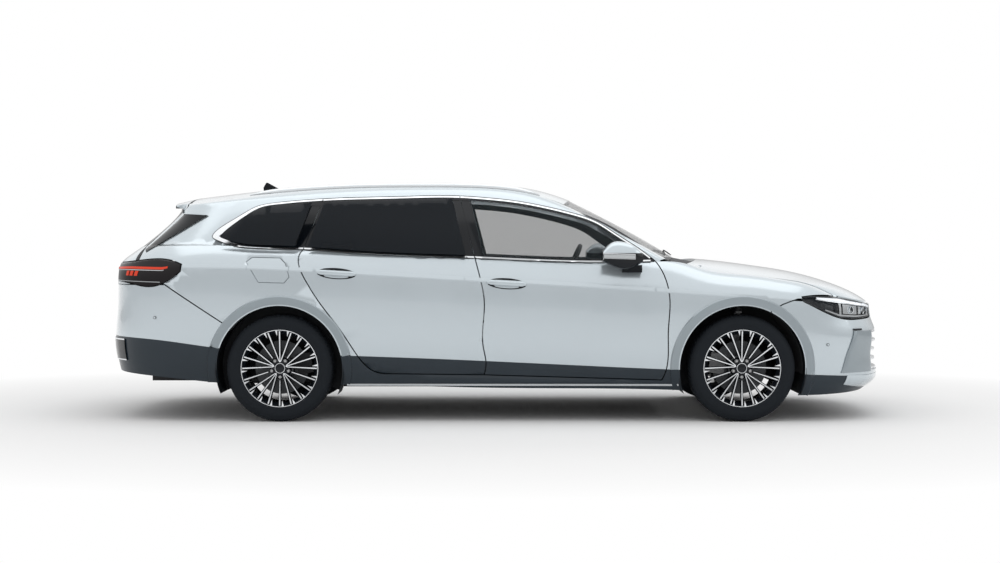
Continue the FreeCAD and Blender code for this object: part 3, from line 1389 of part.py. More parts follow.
def spoke(turn, start_radius, inner_wide, outer_wide):
    """One spoke standing up from the hub to the barrel, leaning out at the hub, turned round the axle."""
    end_radius = BEAD - 10
    points = [Vec(start_radius, FACE + 12, 0), Vec(end_radius, rim_half - 34, 0),
              Vec(end_radius, rim_half - 5, 0),
              Vec(start_radius, FACE + 44, 0)]
    side_face = Part.Face(Part.makePolygon(points + points[:1]))
    solid = side_face.extrude(Vec(0, 0, outer_wide))
    solid.translate(Vec(0, 0, -outer_wide / 2))
    solid.rotate(Vec(0, 0, 0), Vec(0, 1, 0), -90 + turn)
    return solid


spokes = []
for group in range(SPOKE_GROUPS):
    middle = group * 360 / SPOKE_GROUPS
    for side in (-18, 0, 18):
        spokes.append(spoke(middle + side, 46, 12, 12))
    spokes.append(spoke(middle + 36, 70, 12, 12))
rim = barrel.fuse([hub_pad, hat, disc] + spokes)
rim = only_solid(rim.cut(bore))

# Exhaust, dashboard, seats and steering wheel

pipe_radius = size("pipe_radius")
PIPE_Z = floor_z + 34
pipe = cylinder((fwd(-560), 0, PIPE_Z), (aft(380), 0, PIPE_Z), pipe_radius)
silencer = box((aft(-900), -330, REAR_FLOOR_Z - 130), (aft(-560), 330, REAR_FLOOR_Z - seal_gap))
link = cylinder((aft(380), 0, PIPE_Z), (aft(240), 0, PIPE_Z - 58), pipe_radius)
under = cylinder((aft(244), 0, PIPE_Z - 58), (aft(-600), 0, PIPE_Z - 40), pipe_radius)
exhaust = only_solid(pipe.fuse([link, under, silencer]))
DASH_HALF = half_width - 211
dash_face = polygon((FIREWALL_X - seal_gap, 930), (FIREWALL_X - seal_gap, 610), (fwd(-720), 560),
                    (fwd(-840), 640),
                    (fwd(-872), 790), (fwd(-850), 900), (fwd(-760), 965), (fwd(-600), 965))
dashboard = prism(dash_face, -DASH_HALF, DASH_HALF)
console = box((fwd(-1480), -95, floor_top + 110 + seal_gap), (fwd(-800), 95, 560 + lift))
dashboard = only_solid(dashboard.fuse(console))
WHEEL_CENTRE = Vec(fwd(-1001), 370, 927 + lift)
WHEEL_LEAN = 23
wheel_radius = size("steering_wheel_radius")
grip_radius = size("steering_rim_radius")
steer_axis = Vec(-math.cos(math.radians(WHEEL_LEAN)), 0, math.sin(math.radians(WHEEL_LEAN)))
steering_wheel = Part.makeTorus(wheel_radius - grip_radius, grip_radius, WHEEL_CENTRE, steer_axis)
boss = Part.makeCylinder(62, 44, WHEEL_CENTRE - steer_axis * 34, steer_axis)
up = Vec(steer_axis.z, 0, -steer_axis.x)
arms = []
for direction in (Vec(0, 1, 0), Vec(0, -1, 0), up * -1):
    start = WHEEL_CENTRE + direction * 20
    arms.append(Part.makeCylinder(14, wheel_radius - grip_radius - 20, start - steer_axis * 8, direction))
column = Part.makeCylinder(16, 92, WHEEL_CENTRE - steer_axis * 120, steer_axis)
steering_wheel = only_solid(steering_wheel.fuse([boss, column] + arms))
column_bore = Part.makeCylinder(16 + seal_gap, 300, WHEEL_CENTRE - steer_axis * (120 + seal_gap), steer_axis)
shroud = Part.makeCylinder(40, 90, WHEEL_CENTRE - steer_axis * 150, steer_axis)
dashboard = only_solid(dashboard.fuse(shroud).cut(column_bore))

SEAT_Y = 370
seat_width = size("seat_width")
SEAT_BASE = 330 + lift


def seat_shape(x, wide, y, low, cushion_long, back_lean, cushion_top, back_top, rest):
    """A seat: cushion, leaning back and one headrest for each centre in rest."""
    cushion = box((x, y - wide / 2, low), (x + cushion_long, y + wide / 2, cushion_top))
    back_face = Part.Face(Part.makePolygon([Vec(x + 40, 0, low + 30), Vec(x - 90, 0, low + 30),
                                            Vec(x - 90 - back_lean, 0, back_top),
                                            Vec(x - back_lean, 0, back_top),
                                            Vec(x + 40, 0, cushion_top - 5), Vec(x + 40, 0, low + 30)]))
    back = back_face.extrude(Vec(0, wide, 0))
    back.translate(Vec(0, y - wide / 2, 0))
    parts = [back]
    for centre in rest:
        parts.append(box((x - 95 - back_lean, centre - 125, back_top - 10),
                         (x - 15 - back_lean, centre + 125, back_top + 150)))
    return only_solid(cushion.fuse(parts))


REAR_SEAT_BASE = REAR_FLOOR_Z + 31
front_seat = seat_shape(fwd(-1530), seat_width, SEAT_Y, SEAT_BASE, 500, 150, 500 + lift, 1000 + lift,
                        [SEAT_Y])
rear_seat = seat_shape(aft(430), 1240, 0, REAR_SEAT_BASE, 480, 110, 540 + lift, 1010 + lift, [-360, 360])
rail_blocks = []
for side in (1, -1):
    for offset in (-190, 190):
        centre = side * SEAT_Y + offset
        rail_blocks.append(box((fwd(-1500), centre - 18, floor_top - 4),
                               (fwd(-1080), centre + 18, SEAT_BASE - seal_gap)))
for low_y, high_y in ((-560, -120), (120, 560)):
    rail_blocks.append(box((aft(400), low_y, floor_top - 4), (aft(880), high_y, REAR_SEAT_BASE - seal_gap)))
for side in (1, -1):
    low_y, high_y = sorted((side * (arm_low - 18), side * (arm_low - 6)))
    rail_blocks.append(box((fwd(-462) + 2, low_y, 880 + lift),
                           (BONNET_AXIS_X + 9, high_y, BONNET_AXIS_Z + 9)))
    rail_blocks.append(cylinder((BONNET_AXIS_X, side * (arm_low - 16), BONNET_AXIS_Z),
                                (BONNET_AXIS_X, side * arm_high, BONNET_AXIS_Z), BONNET_PIN))
floor_pan = only_solid(floor_pan.fuse(rail_blocks))
floor_pan = only_solid(floor_pan.cut([body_side, mirrored(body_side)]))


def placed_wheel(shape, axle_x, side):
    """A wheel piece moved to its axle, mirrored on the right."""
    result = shape.copy() if side > 0 else mirrored(shape)
    result.translate(Vec(axle_x, side * track_half, axle_height))
    return result


for end, axle_x in (("front", front_axle), ("rear", rear_axle)):
    for name, side in (("left", 1), ("right", -1)):
        piece("rim_%s_%s" % (end, name), placed_wheel(rim, axle_x, side))
        piece("tyre_%s_%s" % (end, name), placed_wheel(tyre, axle_x, side))

piece("floor_pan", floor_pan)
piece("engine", engine)
piece("front_subframe", subframe)
both_sides("knuckle", knuckle)
piece("rear_axle", rear_axle_shape)
piece("exhaust", exhaust)
piece("dashboard", dashboard)
piece("steering_wheel", steering_wheel)
pair("front_seats", front_seat)
piece("rear_seat", rear_seat)
piece("body_side_left", body_side)
piece("body_side_right", mirrored(body_side_flap))
piece("fuel_flap", fuel_flap)
both_sides("front_door", front_door)
both_sides("rear_door", rear_door)
both_sides("front_door_glass", front_glass)
both_sides("rear_door_glass", rear_glass)
pair("quarter_glass", quarter_glass)
both_sides("mirror", mirror)
pair("roof_rails", rail)
piece("roof_fin", fin)

pair("fenders", fender)
piece("roof", roof)
piece("windscreen", windscreen)
piece("bonnet", bonnet)
piece("cowl_panel", cowl)
piece("front_bumper", front_bumper)
piece("grille", grille)
pair("headlamps", headlamp)
piece("rear_bumper", rear_bumper)
pair("tail_lamps", tail_lamp)
pair("tailgate_lamps", gate_lamp)
piece("tailgate", tailgate)
piece("tailgate_glass", back_glass)

doc.recompute()
for item in doc.Objects:
    if "Invalid" in item.State or "Error" in item.State:
        raise RuntimeError("%s: %s" % (item.Label, item.State))
for feature in PIECES:
    if feature.Shape.isNull() or not feature.Shape.isValid():
        raise RuntimeError("%s has no valid shape" % feature.Label)
os.makedirs("parts", exist_ok=True)
for feature in PIECES:
    feature.Shape.exportStep("parts/%s.step" % feature.Label)
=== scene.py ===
"""A station wagon: painted panels, glass, wheels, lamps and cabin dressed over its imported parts.

Body lines are worked out in millimetres, as the car's drawings are, and meshes are made in metres.
The frame is +X forward, +Y left, +Z up, with the origin on the ground under the middle of the car.
"""

import json
import logging
import math
from collections.abc import Callable, Sequence
from dataclasses import dataclass
from enum import Enum

import bmesh
import bpy
import numpy as np
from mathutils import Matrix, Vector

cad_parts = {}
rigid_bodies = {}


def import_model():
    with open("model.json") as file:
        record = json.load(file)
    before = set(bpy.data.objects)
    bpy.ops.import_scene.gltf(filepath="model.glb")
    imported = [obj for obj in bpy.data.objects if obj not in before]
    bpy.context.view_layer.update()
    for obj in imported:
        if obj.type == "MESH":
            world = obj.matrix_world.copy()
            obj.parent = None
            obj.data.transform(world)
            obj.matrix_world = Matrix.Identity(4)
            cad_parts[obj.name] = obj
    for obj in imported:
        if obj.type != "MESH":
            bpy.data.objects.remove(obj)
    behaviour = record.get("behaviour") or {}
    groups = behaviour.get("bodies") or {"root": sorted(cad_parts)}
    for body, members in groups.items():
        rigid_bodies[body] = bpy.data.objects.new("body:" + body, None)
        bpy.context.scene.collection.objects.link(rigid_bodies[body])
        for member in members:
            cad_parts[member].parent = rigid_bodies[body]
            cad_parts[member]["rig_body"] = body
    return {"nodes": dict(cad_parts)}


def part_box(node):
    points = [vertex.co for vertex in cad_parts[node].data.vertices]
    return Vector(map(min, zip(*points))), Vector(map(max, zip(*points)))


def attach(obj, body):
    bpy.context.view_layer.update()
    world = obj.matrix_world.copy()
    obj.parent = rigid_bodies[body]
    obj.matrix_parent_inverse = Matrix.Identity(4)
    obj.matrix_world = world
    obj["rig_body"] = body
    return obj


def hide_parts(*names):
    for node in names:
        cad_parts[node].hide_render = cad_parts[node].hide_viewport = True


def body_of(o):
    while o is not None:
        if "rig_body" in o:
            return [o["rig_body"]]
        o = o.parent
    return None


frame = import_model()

log = logging.getLogger("station_wagon")

Array = np.ndarray
MM = 0.001
FRONT_AXLE = 1503.5
REAR_AXLE = -1337.5
HALF_WIDTH = 926.0
NOSE_X = 2458.5
TAIL_X = -2458.5
AXLE_HEIGHT = 328.0
TRACK_HALF = 788.0
NOSE_POWER = 3.2
TAIL_POWER = 4.0


def fwd(distance: float) -> float:
    """A station measured from the front axle."""
    return FRONT_AXLE + distance


def aft(distance: float) -> float:
    """A station measured from the rear axle."""
    return REAR_AXLE + distance


def mix(start: Array, end: Array, part: Array) -> Array:
    """The value a part of the way from start to end."""
    return start + (end - start) * part


def ramp(value: Array) -> Array:
    """A smooth step from 0 to 1, three squares less two cubes."""
    value = np.clip(value, 0.0, 1.0)
    return value * value * (3 - 2 * value)


class Spline:
    """A natural cubic spline through (position, value) knots, straight beyond its ends."""

    def __init__(self, *knots: tuple[float, float]) -> None:
        """Solves the spline's bends.

        Args:
            knots: the points that the curve passes, in any order.
        """
        points = np.array(sorted(knots), float)
        self.at = points[:, 0]
        self.value = points[:, 1]
        count = len(points)
        span = np.diff(self.at)
        slope = np.diff(self.value) / span
        system = np.eye(count)
        known = np.zeros(count)
        for i in range(1, count - 1):
            system[i, i - 1 : i + 2] = (span[i - 1], 2 * (span[i - 1] + span[i]), span[i])
            known[i] = 6 * (slope[i] - slope[i - 1])
        self.bend = np.linalg.solve(system, known)

    def __call__(self, position: Array) -> Array:
        """The curve's value at each position."""
        position = np.asarray(position, float)
        inside = np.clip(position, self.at[0], self.at[-1])
        i = np.clip(np.searchsorted(self.at, inside, side="right") - 1, 0, len(self.at) - 2)
        span = self.at[i + 1] - self.at[i]
        a = (self.at[i + 1] - inside) / span
        b = (inside - self.at[i]) / span
        value = a * self.value[i] + b * self.value[i + 1]
        value += ((a**3 - a) * self.bend[i] + (b**3 - b) * self.bend[i + 1]) * span**2 / 6
        slope = (self.value[i + 1] - self.value[i]) / span
        slope -= span * ((3 * a**2 - 1) * self.bend[i] - (3 * b**2 - 1) * self.bend[i + 1]) / 6
        return value + slope * (position - inside)


def body_line(rear: Sequence[tuple[float, float]], front: Sequence[tuple[float, float]]) -> Spline:
    """A line through knots whose stations are measured from the rear axle, then from the front axle."""
    return Spline(*((aft(x), value) for x, value in rear), *((fwd(x), value) for x, value in front))


def inset_line(rear: Sequence[tuple[float, float]], front: Sequence[tuple[float, float]]) -> Spline:
    """A body line of half widths, each knot given by how far it lies inside the widest one."""
    return body_line(*([(x, HALF_WIDTH - inset) for x, inset in part] for part in (rear, front)))


class BodyLines:
    """The car's feature lines, each a height or a half width along the car, in millimetres."""

    sill_z = body_line([(-1120, 300), (-620, 262), (-405, 240), (400, 227)],
                       [(-1610, 208), (-320, 190), (300, 160), (955, 178)])
    crease_z = body_line([(-1120, 520), (-740, 503), (-388, 456), (392, 409)],
                         [(-1580, 376), (-470, 325), (300, 296), (955, 262)])
    shoulder_z = body_line([(-1120, 955), (-564, 950), (-208, 945), (232, 925), (476, 911)],
                           [(-1576, 865), (-1182, 845), (-460, 801), (0, 768), (340, 742), (955, 712)])
    belt_z = body_line([(-1120, 1058), (-700, 1086), (-330, 1082), (-56, 1065), (142, 1058), (432, 1039)],
                       [(-1644, 1006), (-872, 980), (-544, 984), (-348, 975), (-238, 942), (-90, 916),
                        (108, 898), (248, 876), (470, 827), (584, 773), (700, 735)])
    sill_y = inset_line([(-1121, 50), (0, 58)],
                        [(0, 58), (955, 50)])
    crease_y = inset_line([(-1121, 8), (400, 11)],
                          [(-400, 11), (955, 11)])
    shoulder_y = inset_line([(-1121, 8), (0, 4)],
                            [(-1576, 6), (-460, 6), (0, 6), (955, 6)])
    belt_y = inset_line([(-1120, 66), (-330, 76), (142, 62)],
                        [(-1644, 52), (-872, 58), (-560, 74), (-348, 126), (-90, 150), (248, 150),
                         (470, 126), (584, 100), (700, 84)])
    nose = Spline((150, -120), (235, -20), (400, -6), (554, -6), (640, -44), (720, -52), (800, -110),
                  (1000, -220))
    tail = Spline((250, -40), (480, -2), (700, -18), (900, -20), (980, -44), (1064, -152), (1180, -300),
                  (1260, -384), (1340, -428), (1440, -470))
    roll = body_line([(-1121, 0.3), (0, 0.3)],
                     [(-700, 0.4), (-300, 0.9), (955, 1.0)])
    cant_z = body_line([(-720, 1318), (-500, 1340), (-178, 1362), (248, 1388)],
                       [(-1738, 1404), (-1428, 1379), (-1228, 1344), (-1028, 1294), (-860, 1228),
                        (-622, 1070), (-500, 992)])
    roof_edge_z = body_line([(-700, 1338), (-232, 1400), (404, 1447), (910, 1453)],
                            [(-1488, 1440), (-1252, 1402), (-1088, 1343), (-874, 1232), (-674, 1125),
                             (-434, 985)])
    roof_edge_y = inset_line([(-700, 386), (-232, 366), (404, 352), (910, 346)],
                             [(-1488, 346), (-1252, 338), (-1088, 314), (-874, 258), (-674, 202),
                              (-434, 146)])
    roof_centre_z = body_line([(-742, 1361), (-598, 1397), (-434, 1417), (-230, 1443), (-26, 1458),
                               (352, 1483), (686, 1493), (886, 1496)],
                              [(-1622, 1491), (-1420, 1477), (-1240, 1453), (-1026, 1380)])
    screen_z = body_line([], [(-1026, 1380), (-726, 1228), (-514, 1110), (-354, 1013)])
    bonnet_z = body_line([], [(-354, 1003), (-212, 1000), (18, 978), (232, 949), (384, 925), (520, 895),
                              (656, 854), (792, 800), (860, 762), (905, 728)])
    window_top = body_line([(-422, 1139), (-370, 1197), (-274, 1259), (-178, 1317), (-82, 1344), (62, 1360),
                            (248, 1374), (726, 1389)],
                           [(-1738, 1393), (-1578, 1382), (-1428, 1367), (-1228, 1332), (-1028, 1283),
                            (-860, 1217), (-780, 1163), (-622, 1058), (-534, 990)])
    window_base = body_line([(-386, 1119), (-330, 1095), (-226, 1074), (-56, 1065), (142, 1060),
                             (432, 1039)],
                            [(-1644, 1006), (-872, 980), (-544, 986)])


LINES = BodyLines()
TAIL_START = aft(-160)
HEADER_X = fwd(-1026)
HEADER_SWEEP = 62.0


def plan_share(x: Array, z: Array) -> Array:
    """How far the plan has closed in: 1 along the flanks, falling as a super-ellipse to 0 at both ends."""
    nose = np.clip((x - FRONT_AXLE) / (NOSE_X + LINES.nose(z) - FRONT_AXLE), 0, 1)
    tail = np.clip((TAIL_START - x) / (TAIL_START - TAIL_X + LINES.tail(z)), 0, 1)
    front = (1 - nose**NOSE_POWER) ** (1 / NOSE_POWER)
    rear = (1 - tail**TAIL_POWER) ** (1 / TAIL_POWER)
    return np.where(x > FRONT_AXLE, front, np.where(x < TAIL_START, rear, 1.0))


LOW_BULGE = 24.0
HIGH_BULGE = 36.0
BELT_STEP = 6.0
GLASS_LEAN = 0.44
GLASS_CURVE = 0.00028
ROLL_HALVINGS = 18


def half_width(x: Array, z: Array) -> Array:
    """Half width of the side at any height before the plan closes in.

    Straight with a small bulge from sill to crease and from crease to shoulder, a quarter roll from
    shoulder to belt, and a lean with a square term above the belt.
    """
    sill, crease = LINES.sill_z(x), LINES.crease_z(x)
    shoulder, belt = LINES.shoulder_z(x), LINES.belt_z(x)
    low = (z - sill) / (crease - sill)
    high = (z - crease) / (shoulder - crease)
    below = mix(LINES.sill_y(x), LINES.crease_y(x), low) + LOW_BULGE * low * (1 - low)
    above = mix(LINES.crease_y(x), LINES.shoulder_y(x), high) + HIGH_BULGE * high * (1 - high)
    fold = LINES.roll(x)
    start = np.zeros_like(x + z)
    end = np.ones_like(start)
    for _ in range(ROLL_HALVINGS):
        middle = (start + end) / 2
        up = mix(middle, np.sin(middle * math.pi / 2), fold)
        under = mix(shoulder, belt, up) < z
        start = np.where(under, middle, start)
        end = np.where(under, end, middle)
    turned = mix(start**1.6, 1 - np.cos(start * math.pi / 2), fold)
    roll = mix(LINES.shoulder_y(x), LINES.belt_y(x), turned)
    over = z - belt
    cabin = LINES.belt_y(x) - BELT_STEP - GLASS_LEAN * over - GLASS_CURVE * over * over
    flank = np.where(z < crease, below, above)
    return np.where(z <= shoulder, flank, np.where(z >= belt, cabin, roll))


def side_point(x: Array, z: Array, proud: float | Array = 0.0) -> Array:
    """Points of the left flank at stations and heights, a little proud of the skin along y."""
    y = half_width(x, z) * plan_share(x, z) + proud
    return np.stack([x + 0 * y, y, z + 0 * y], axis=-1)


def flank_slab(x: Array, z: Array, proud: float | Array, back: float | Array) -> tuple[Array, Array]:
    """The face and the back of a slab on the flank, by how far each stands off the skin."""
    return side_point(x, z, proud), side_point(x, z, back)


def wrap_point(turn: Array, z: Array, nose: bool, depth: float | Array = 0.0) -> Array:
    """A point round the nose or the tail.

    Args:
        turn: its angle from straight ahead or straight behind.
        z: its height.
        nose: whether it is round the nose.
        depth: how far it is set in, square to the surface.

    Returns:
        Points in millimetres.
    """
    power = NOSE_POWER if nose else TAIL_POWER
    heading = 1.0 if nose else -1.0
    start = FRONT_AXLE if nose else TAIL_START
    reach = NOSE_X + LINES.nose(z) - FRONT_AXLE if nose else TAIL_START - TAIL_X + LINES.tail(z)

    def plain(angle: Array) -> tuple[Array, Array]:
        """The super-ellipse at an angle."""
        ahead = np.cos(angle)
        aside = np.sin(angle)
        scale = (np.abs(ahead) ** power + np.abs(aside) ** power) ** (-1 / power)
        x = start + heading * reach * ahead * scale
        return x, half_width(x, z) * aside * scale

    x, y = plain(turn)
    after = plain(turn + 0.02)
    before = plain(turn - 0.02)
    run = np.hypot(after[0] - before[0], after[1] - before[1])
    x = x - depth * heading * (after[1] - before[1]) / run
    y = y + depth * heading * (after[0] - before[0]) / run
    return np.stack([x, y, z + 0 * x], axis=-1)


def wrap_angle(x: float, z: float) -> float:
    """The wrap angle at which the nose or tail passes a station."""
    nose = x > FRONT_AXLE
    power = NOSE_POWER if nose else TAIL_POWER
    share = float(plan_share(np.array(x), np.array(z)))
    reach = max(0.0, 1 - share**power) ** (1 / power)
    return math.atan2(share, reach)


def roof_z(x: Array, y: Array) -> Array:
    """Height of the roof: the centre line falling to the edge by the 2.6th power of the way across."""
    across = np.clip(np.abs(y) / (LINES.roof_edge_y(x) - 0.5), 0, 1.05)
    top = LINES.roof_centre_z(x)
    return top - (top - LINES.roof_edge_z(x)) * across**2.6


def cant_point(x: Array, t: Array) -> Array:
    """The cant rail over the doors, a square curve from the side's top up to the roof's edge."""
    step = 30.0
    foot_z = LINES.cant_z(x)
    start = side_point(x, foot_z)
    below = side_point(x, foot_z - step)
    top = x + 38 * ramp((x - fwd(-1500)) / 600)
    end = np.stack([top, LINES.roof_edge_y(top), LINES.roof_edge_z(top)], axis=-1)
    corner = start + (start - below) * ((end[..., 2:] - start[..., 2:]) / step * 0.85)
    corner[..., 0] = (start[..., 0] + end[..., 0]) / 2
    t = np.asarray(t)[..., None]
    return start * (1 - t) ** 2 + corner * (2 * t * (1 - t)) + end * t**2


BONNET_SIDE = (fwd(-330), fwd(600))
BONNET_CENTRE = (fwd(-205), fwd(905))
BONNET_GAP = 7.0
BONNET_TURN = wrap_angle(BONNET_SIDE[1], 768)
BONNET_CORNER = wrap_angle(fwd(736), 740)
BONNET_FRONT = Spline((BONNET_TURN, 776), (BONNET_CORNER, 748), (0.45, 728), (0.0, 727), (-0.45, 728),
                      (-BONNET_CORNER, 748), (-BONNET_TURN, 776))


def bonnet_point(s: Array, t: Array) -> Array:
    """The bonnet, centre line blended to side line and its front carried onto the nose.

    Args:
        s: the share from its rear to its front.
        t: the share across it, from right to left.

    Returns:
        Points in millimetres.
    """
    across = 2 * t - 1
    blend = np.abs(across) ** 2.3

    def plain(share: Array) -> Array:
        """The bonnet before its front is carried onto the nose."""
        side_x, centre_x = mix(*BONNET_SIDE, share), mix(*BONNET_CENTRE, share)
        side_z = LINES.belt_z(side_x)
        side_y = LINES.belt_y(side_x) * plan_share(side_x, side_z) - BONNET_GAP
        z = mix(LINES.bonnet_z(centre_x), side_z, blend)
        return np.stack([mix(centre_x, side_x, blend), side_y * across, z], -1)

    turn = BONNET_TURN * across
    front = wrap_point(turn, BONNET_FRONT(turn), True)
    return plain(s) + (front - plain(np.ones_like(s))) * ramp((s - 0.5) * 2)[..., None]


def screen_point(s: Array, t: Array) -> Array:
    """The windscreen, s across and t from its foot to the header, bowed by the square of the way across."""
    across = 2 * s - 1
    centre_x = mix(fwd(-360), HEADER_X + 0.6, t)
    edge_x = mix(fwd(-444), HEADER_X - HEADER_SWEEP + 0.6, t)
    centre = np.stack([centre_x, 0 * centre_x, LINES.screen_z(centre_x)], -1)
    edge_y = LINES.roof_edge_y(edge_x) - 1.1
    edge = np.stack([edge_x, edge_y, LINES.roof_edge_z(edge_x)], -1)
    place = centre + (edge - centre) * (across * across)[..., None]
    place[..., 1] = edge_y * across
    return place


class Skin:
    """A smooth surface of the body that says how far points are from it and which way it faces there."""

    def read(self, points: Array) -> tuple[Array, Array]:
        """Distances and outward unit normals at points."""
        raise NotImplementedError


class LevelSkin(Skin):
    """A skin given as the zero of a function of place, its normal that function's slope."""

    def __init__(self, level: Callable[[Array], Array], step: float = 0.4) -> None:
        """Keeps the function, positive outside, and the step of its slope."""
        self.level = level
        self.step = step

    def read(self, points: Array) -> tuple[Array, Array]:
        """Distance is the level over its slope, and the normal is the slope at unit length."""
        slope = np.empty_like(points)
        for axis in range(3):
            push = np.zeros(3)
            push[axis] = self.step
            slope[:, axis] = (self.level(points + push) - self.level(points - push)) / (2 * self.step)
        length = np.maximum(np.linalg.norm(slope, axis=1), 1e-9)
        return np.abs(self.level(points)) / length, slope / length[:, None]


class SheetSkin(Skin):
    """A skin given by two parameters, read by Gauss-Newton steps from a start guess."""

    def __init__(self, point: Callable[[Array, Array], Array], guess: Callable[[Array], tuple[Array, Array]],
                 low: tuple[float, float], high: tuple[float, float], way: float = 1.0) -> None:
        """Keeps the surface, its start guess and the range of its parameters; way turns the normal.

        Args:
            point: the surface's point at two parameters.
            guess: the parameters to start from.
            low: the least of both parameters.
            high: the most of both parameters.
            way: -1 to turn the normals round.
        """
        self.point = point
        self.guess = guess
        self.low = low
        self.high = high
        self.way = way

    def read(self, points: Array) -> tuple[Array, Array]:
        """Moves the parameters until the surface point is nearest, then crosses the two slopes."""
        mirror = np.where(points[:, 1] < 0, -1.0, 1.0)
        flat = points.copy()
        flat[:, 1] = np.abs(flat[:, 1])
        u, v = self.guess(flat)
        steps = [(high - low) * 1e-4 for low, high in zip(self.low, self.high)]
        for _ in range(9):
            here = self.point(u, v)
            along = (self.point(u + steps[0], v) - here) / steps[0]
            up = (self.point(u, v + steps[1]) - here) / steps[1]
            gap = flat - here
            aa, bb, ab = ((p * q).sum(1) for p, q in ((along, along), (up, up), (along, up)))
            ga, gb = ((gap * p).sum(1) for p in (along, up))
            scale = np.maximum(aa * bb - ab * ab, 1e-9)
            u = np.clip(u + (ga * bb - gb * ab) / scale, self.low[0], self.high[0])
            v = np.clip(v + (gb * aa - ga * ab) / scale, self.low[1], self.high[1])
        normal = np.cross(along, up) * self.way
        normal /= np.maximum(np.linalg.norm(normal, axis=1), 1e-9)[:, None]
        normal[:, 1] *= mirror
        return np.linalg.norm(flat - here, axis=1), normal


def side_level(points: Array) -> Array:
    """Zero on the flanks, nose and tail: reach and width share raised to the plan's power, less one."""
    x, y, z = points.T
    share = np.abs(y) / half_width(x, z)
    nose = np.abs(x - FRONT_AXLE) / (NOSE_X + LINES.nose(z) - FRONT_AXLE)
    tail = np.abs(TAIL_START - x) / (TAIL_START - TAIL_X + LINES.tail(z))
    front = nose**NOSE_POWER + share**NOSE_POWER - 1
    rear = tail**TAIL_POWER + share**TAIL_POWER - 1
    return np.where(x > FRONT_AXLE, front, np.where(x < TAIL_START, rear, share - 1))


def roof_level(points: Array) -> Array:
    """Zero on the roof: height less the roof's height."""
    return points[:, 2] - roof_z(points[:, 0], points[:, 1])


def cant_guess(points: Array) -> tuple[Array, Array]:
    """The station, and the share of the rise from the side's top to the roof's edge."""
    x = points[:, 0]
    low = LINES.cant_z(x)
    return x, np.clip((points[:, 2] - low) / (LINES.roof_edge_z(x) - low), 0, 1)


def bonnet_guess(points: Array) -> tuple[Array, Array]:
    """The share along and across the bonnet."""
    rear, front = BONNET_CENTRE
    s = np.clip((points[:, 0] - rear) / (front - rear), 0, 1)
    return s, np.clip(0.5 + 0.5 * points[:, 1] / 780, 0.5, 1)


def screen_guess(points: Array) -> tuple[Array, Array]:
    """The share across and up the windscreen."""
    t = np.clip((points[:, 2] - 990) / 390, 0, 1)
    return np.clip(0.5 + 0.5 * points[:, 1] / 700, 0.5, 1), t


SIDE = LevelSkin(side_level)
ROOF = LevelSkin(roof_level)
CANT = SheetSkin(cant_point, cant_guess, (aft(-660), 0.0), (fwd(-440), 1.0), -1.0)
BONNET = SheetSkin(bonnet_point, bonnet_guess, (0.0, 0.5), (1.0, 1.0))
SCREEN = SheetSkin(screen_point, screen_guess, (0.5, 0.0), (1.0, 1.0))


class Value:
    """A number socket of a shader that arithmetic works on."""

    def __init__(self, graph: "Graph", socket: bpy.types.NodeSocket) -> None:
        """Keeps the graph that the socket is in."""
        self.graph = graph
        self.socket = socket

    def _maths(self, operation: str, first: "Value | float", second: "Value | float") -> "Value":
        """One Math node on two values."""
        return self.graph.node("ShaderNodeMath", {"operation": operation}, {0: first, 1: second}).out()

    def __add__(self, other: "Value | float") -> "Value":
        """The sum."""
        return self._maths("ADD", self, other)

    __radd__ = __add__

    def __sub__(self, other: "Value | float") -> "Value":
        """The difference."""
        return self._maths("SUBTRACT", self, other)

    def __rsub__(self, other: "Value | float") -> "Value":
        """The difference the other way round."""
        return self._maths("SUBTRACT", other, self)

    def __mul__(self, other: "Value | float") -> "Value":
        """The product."""
        return self._maths("MULTIPLY", self, other)

    __rmul__ = __mul__

    def __pow__(self, other: "Value | float") -> "Value":
        """The power."""
        return self._maths("POWER", self, other)

    def larger(self, other: "Value | float") -> "Value":
        """The larger of the two."""
        return self._maths("MAXIMUM", self, other)

    def wave(self) -> "Value":
        """The sine."""
        return self._maths("SINE", self, 0.0)

    def fit(self, low: float, high: float, start: float = 0.0, end: float = 1.0) -> "Value":
        """The value carried from one range to another and kept inside it."""
        return self.graph.node("ShaderNodeMapRange", {"clamp": True},
                               {0: self, 1: low, 2: high, 3: start, 4: end}).out()


class Made:
    """A node of a graph, with its outputs as values."""

    def __init__(self, graph: "Graph", made: bpy.types.Node) -> None:
        """Keeps the node."""
        self.graph = graph
        self.made = made

    def out(self, name: str | int = 0) -> Value:
        """One output by name or number."""
        return Value(self.graph, self.made.outputs[name])


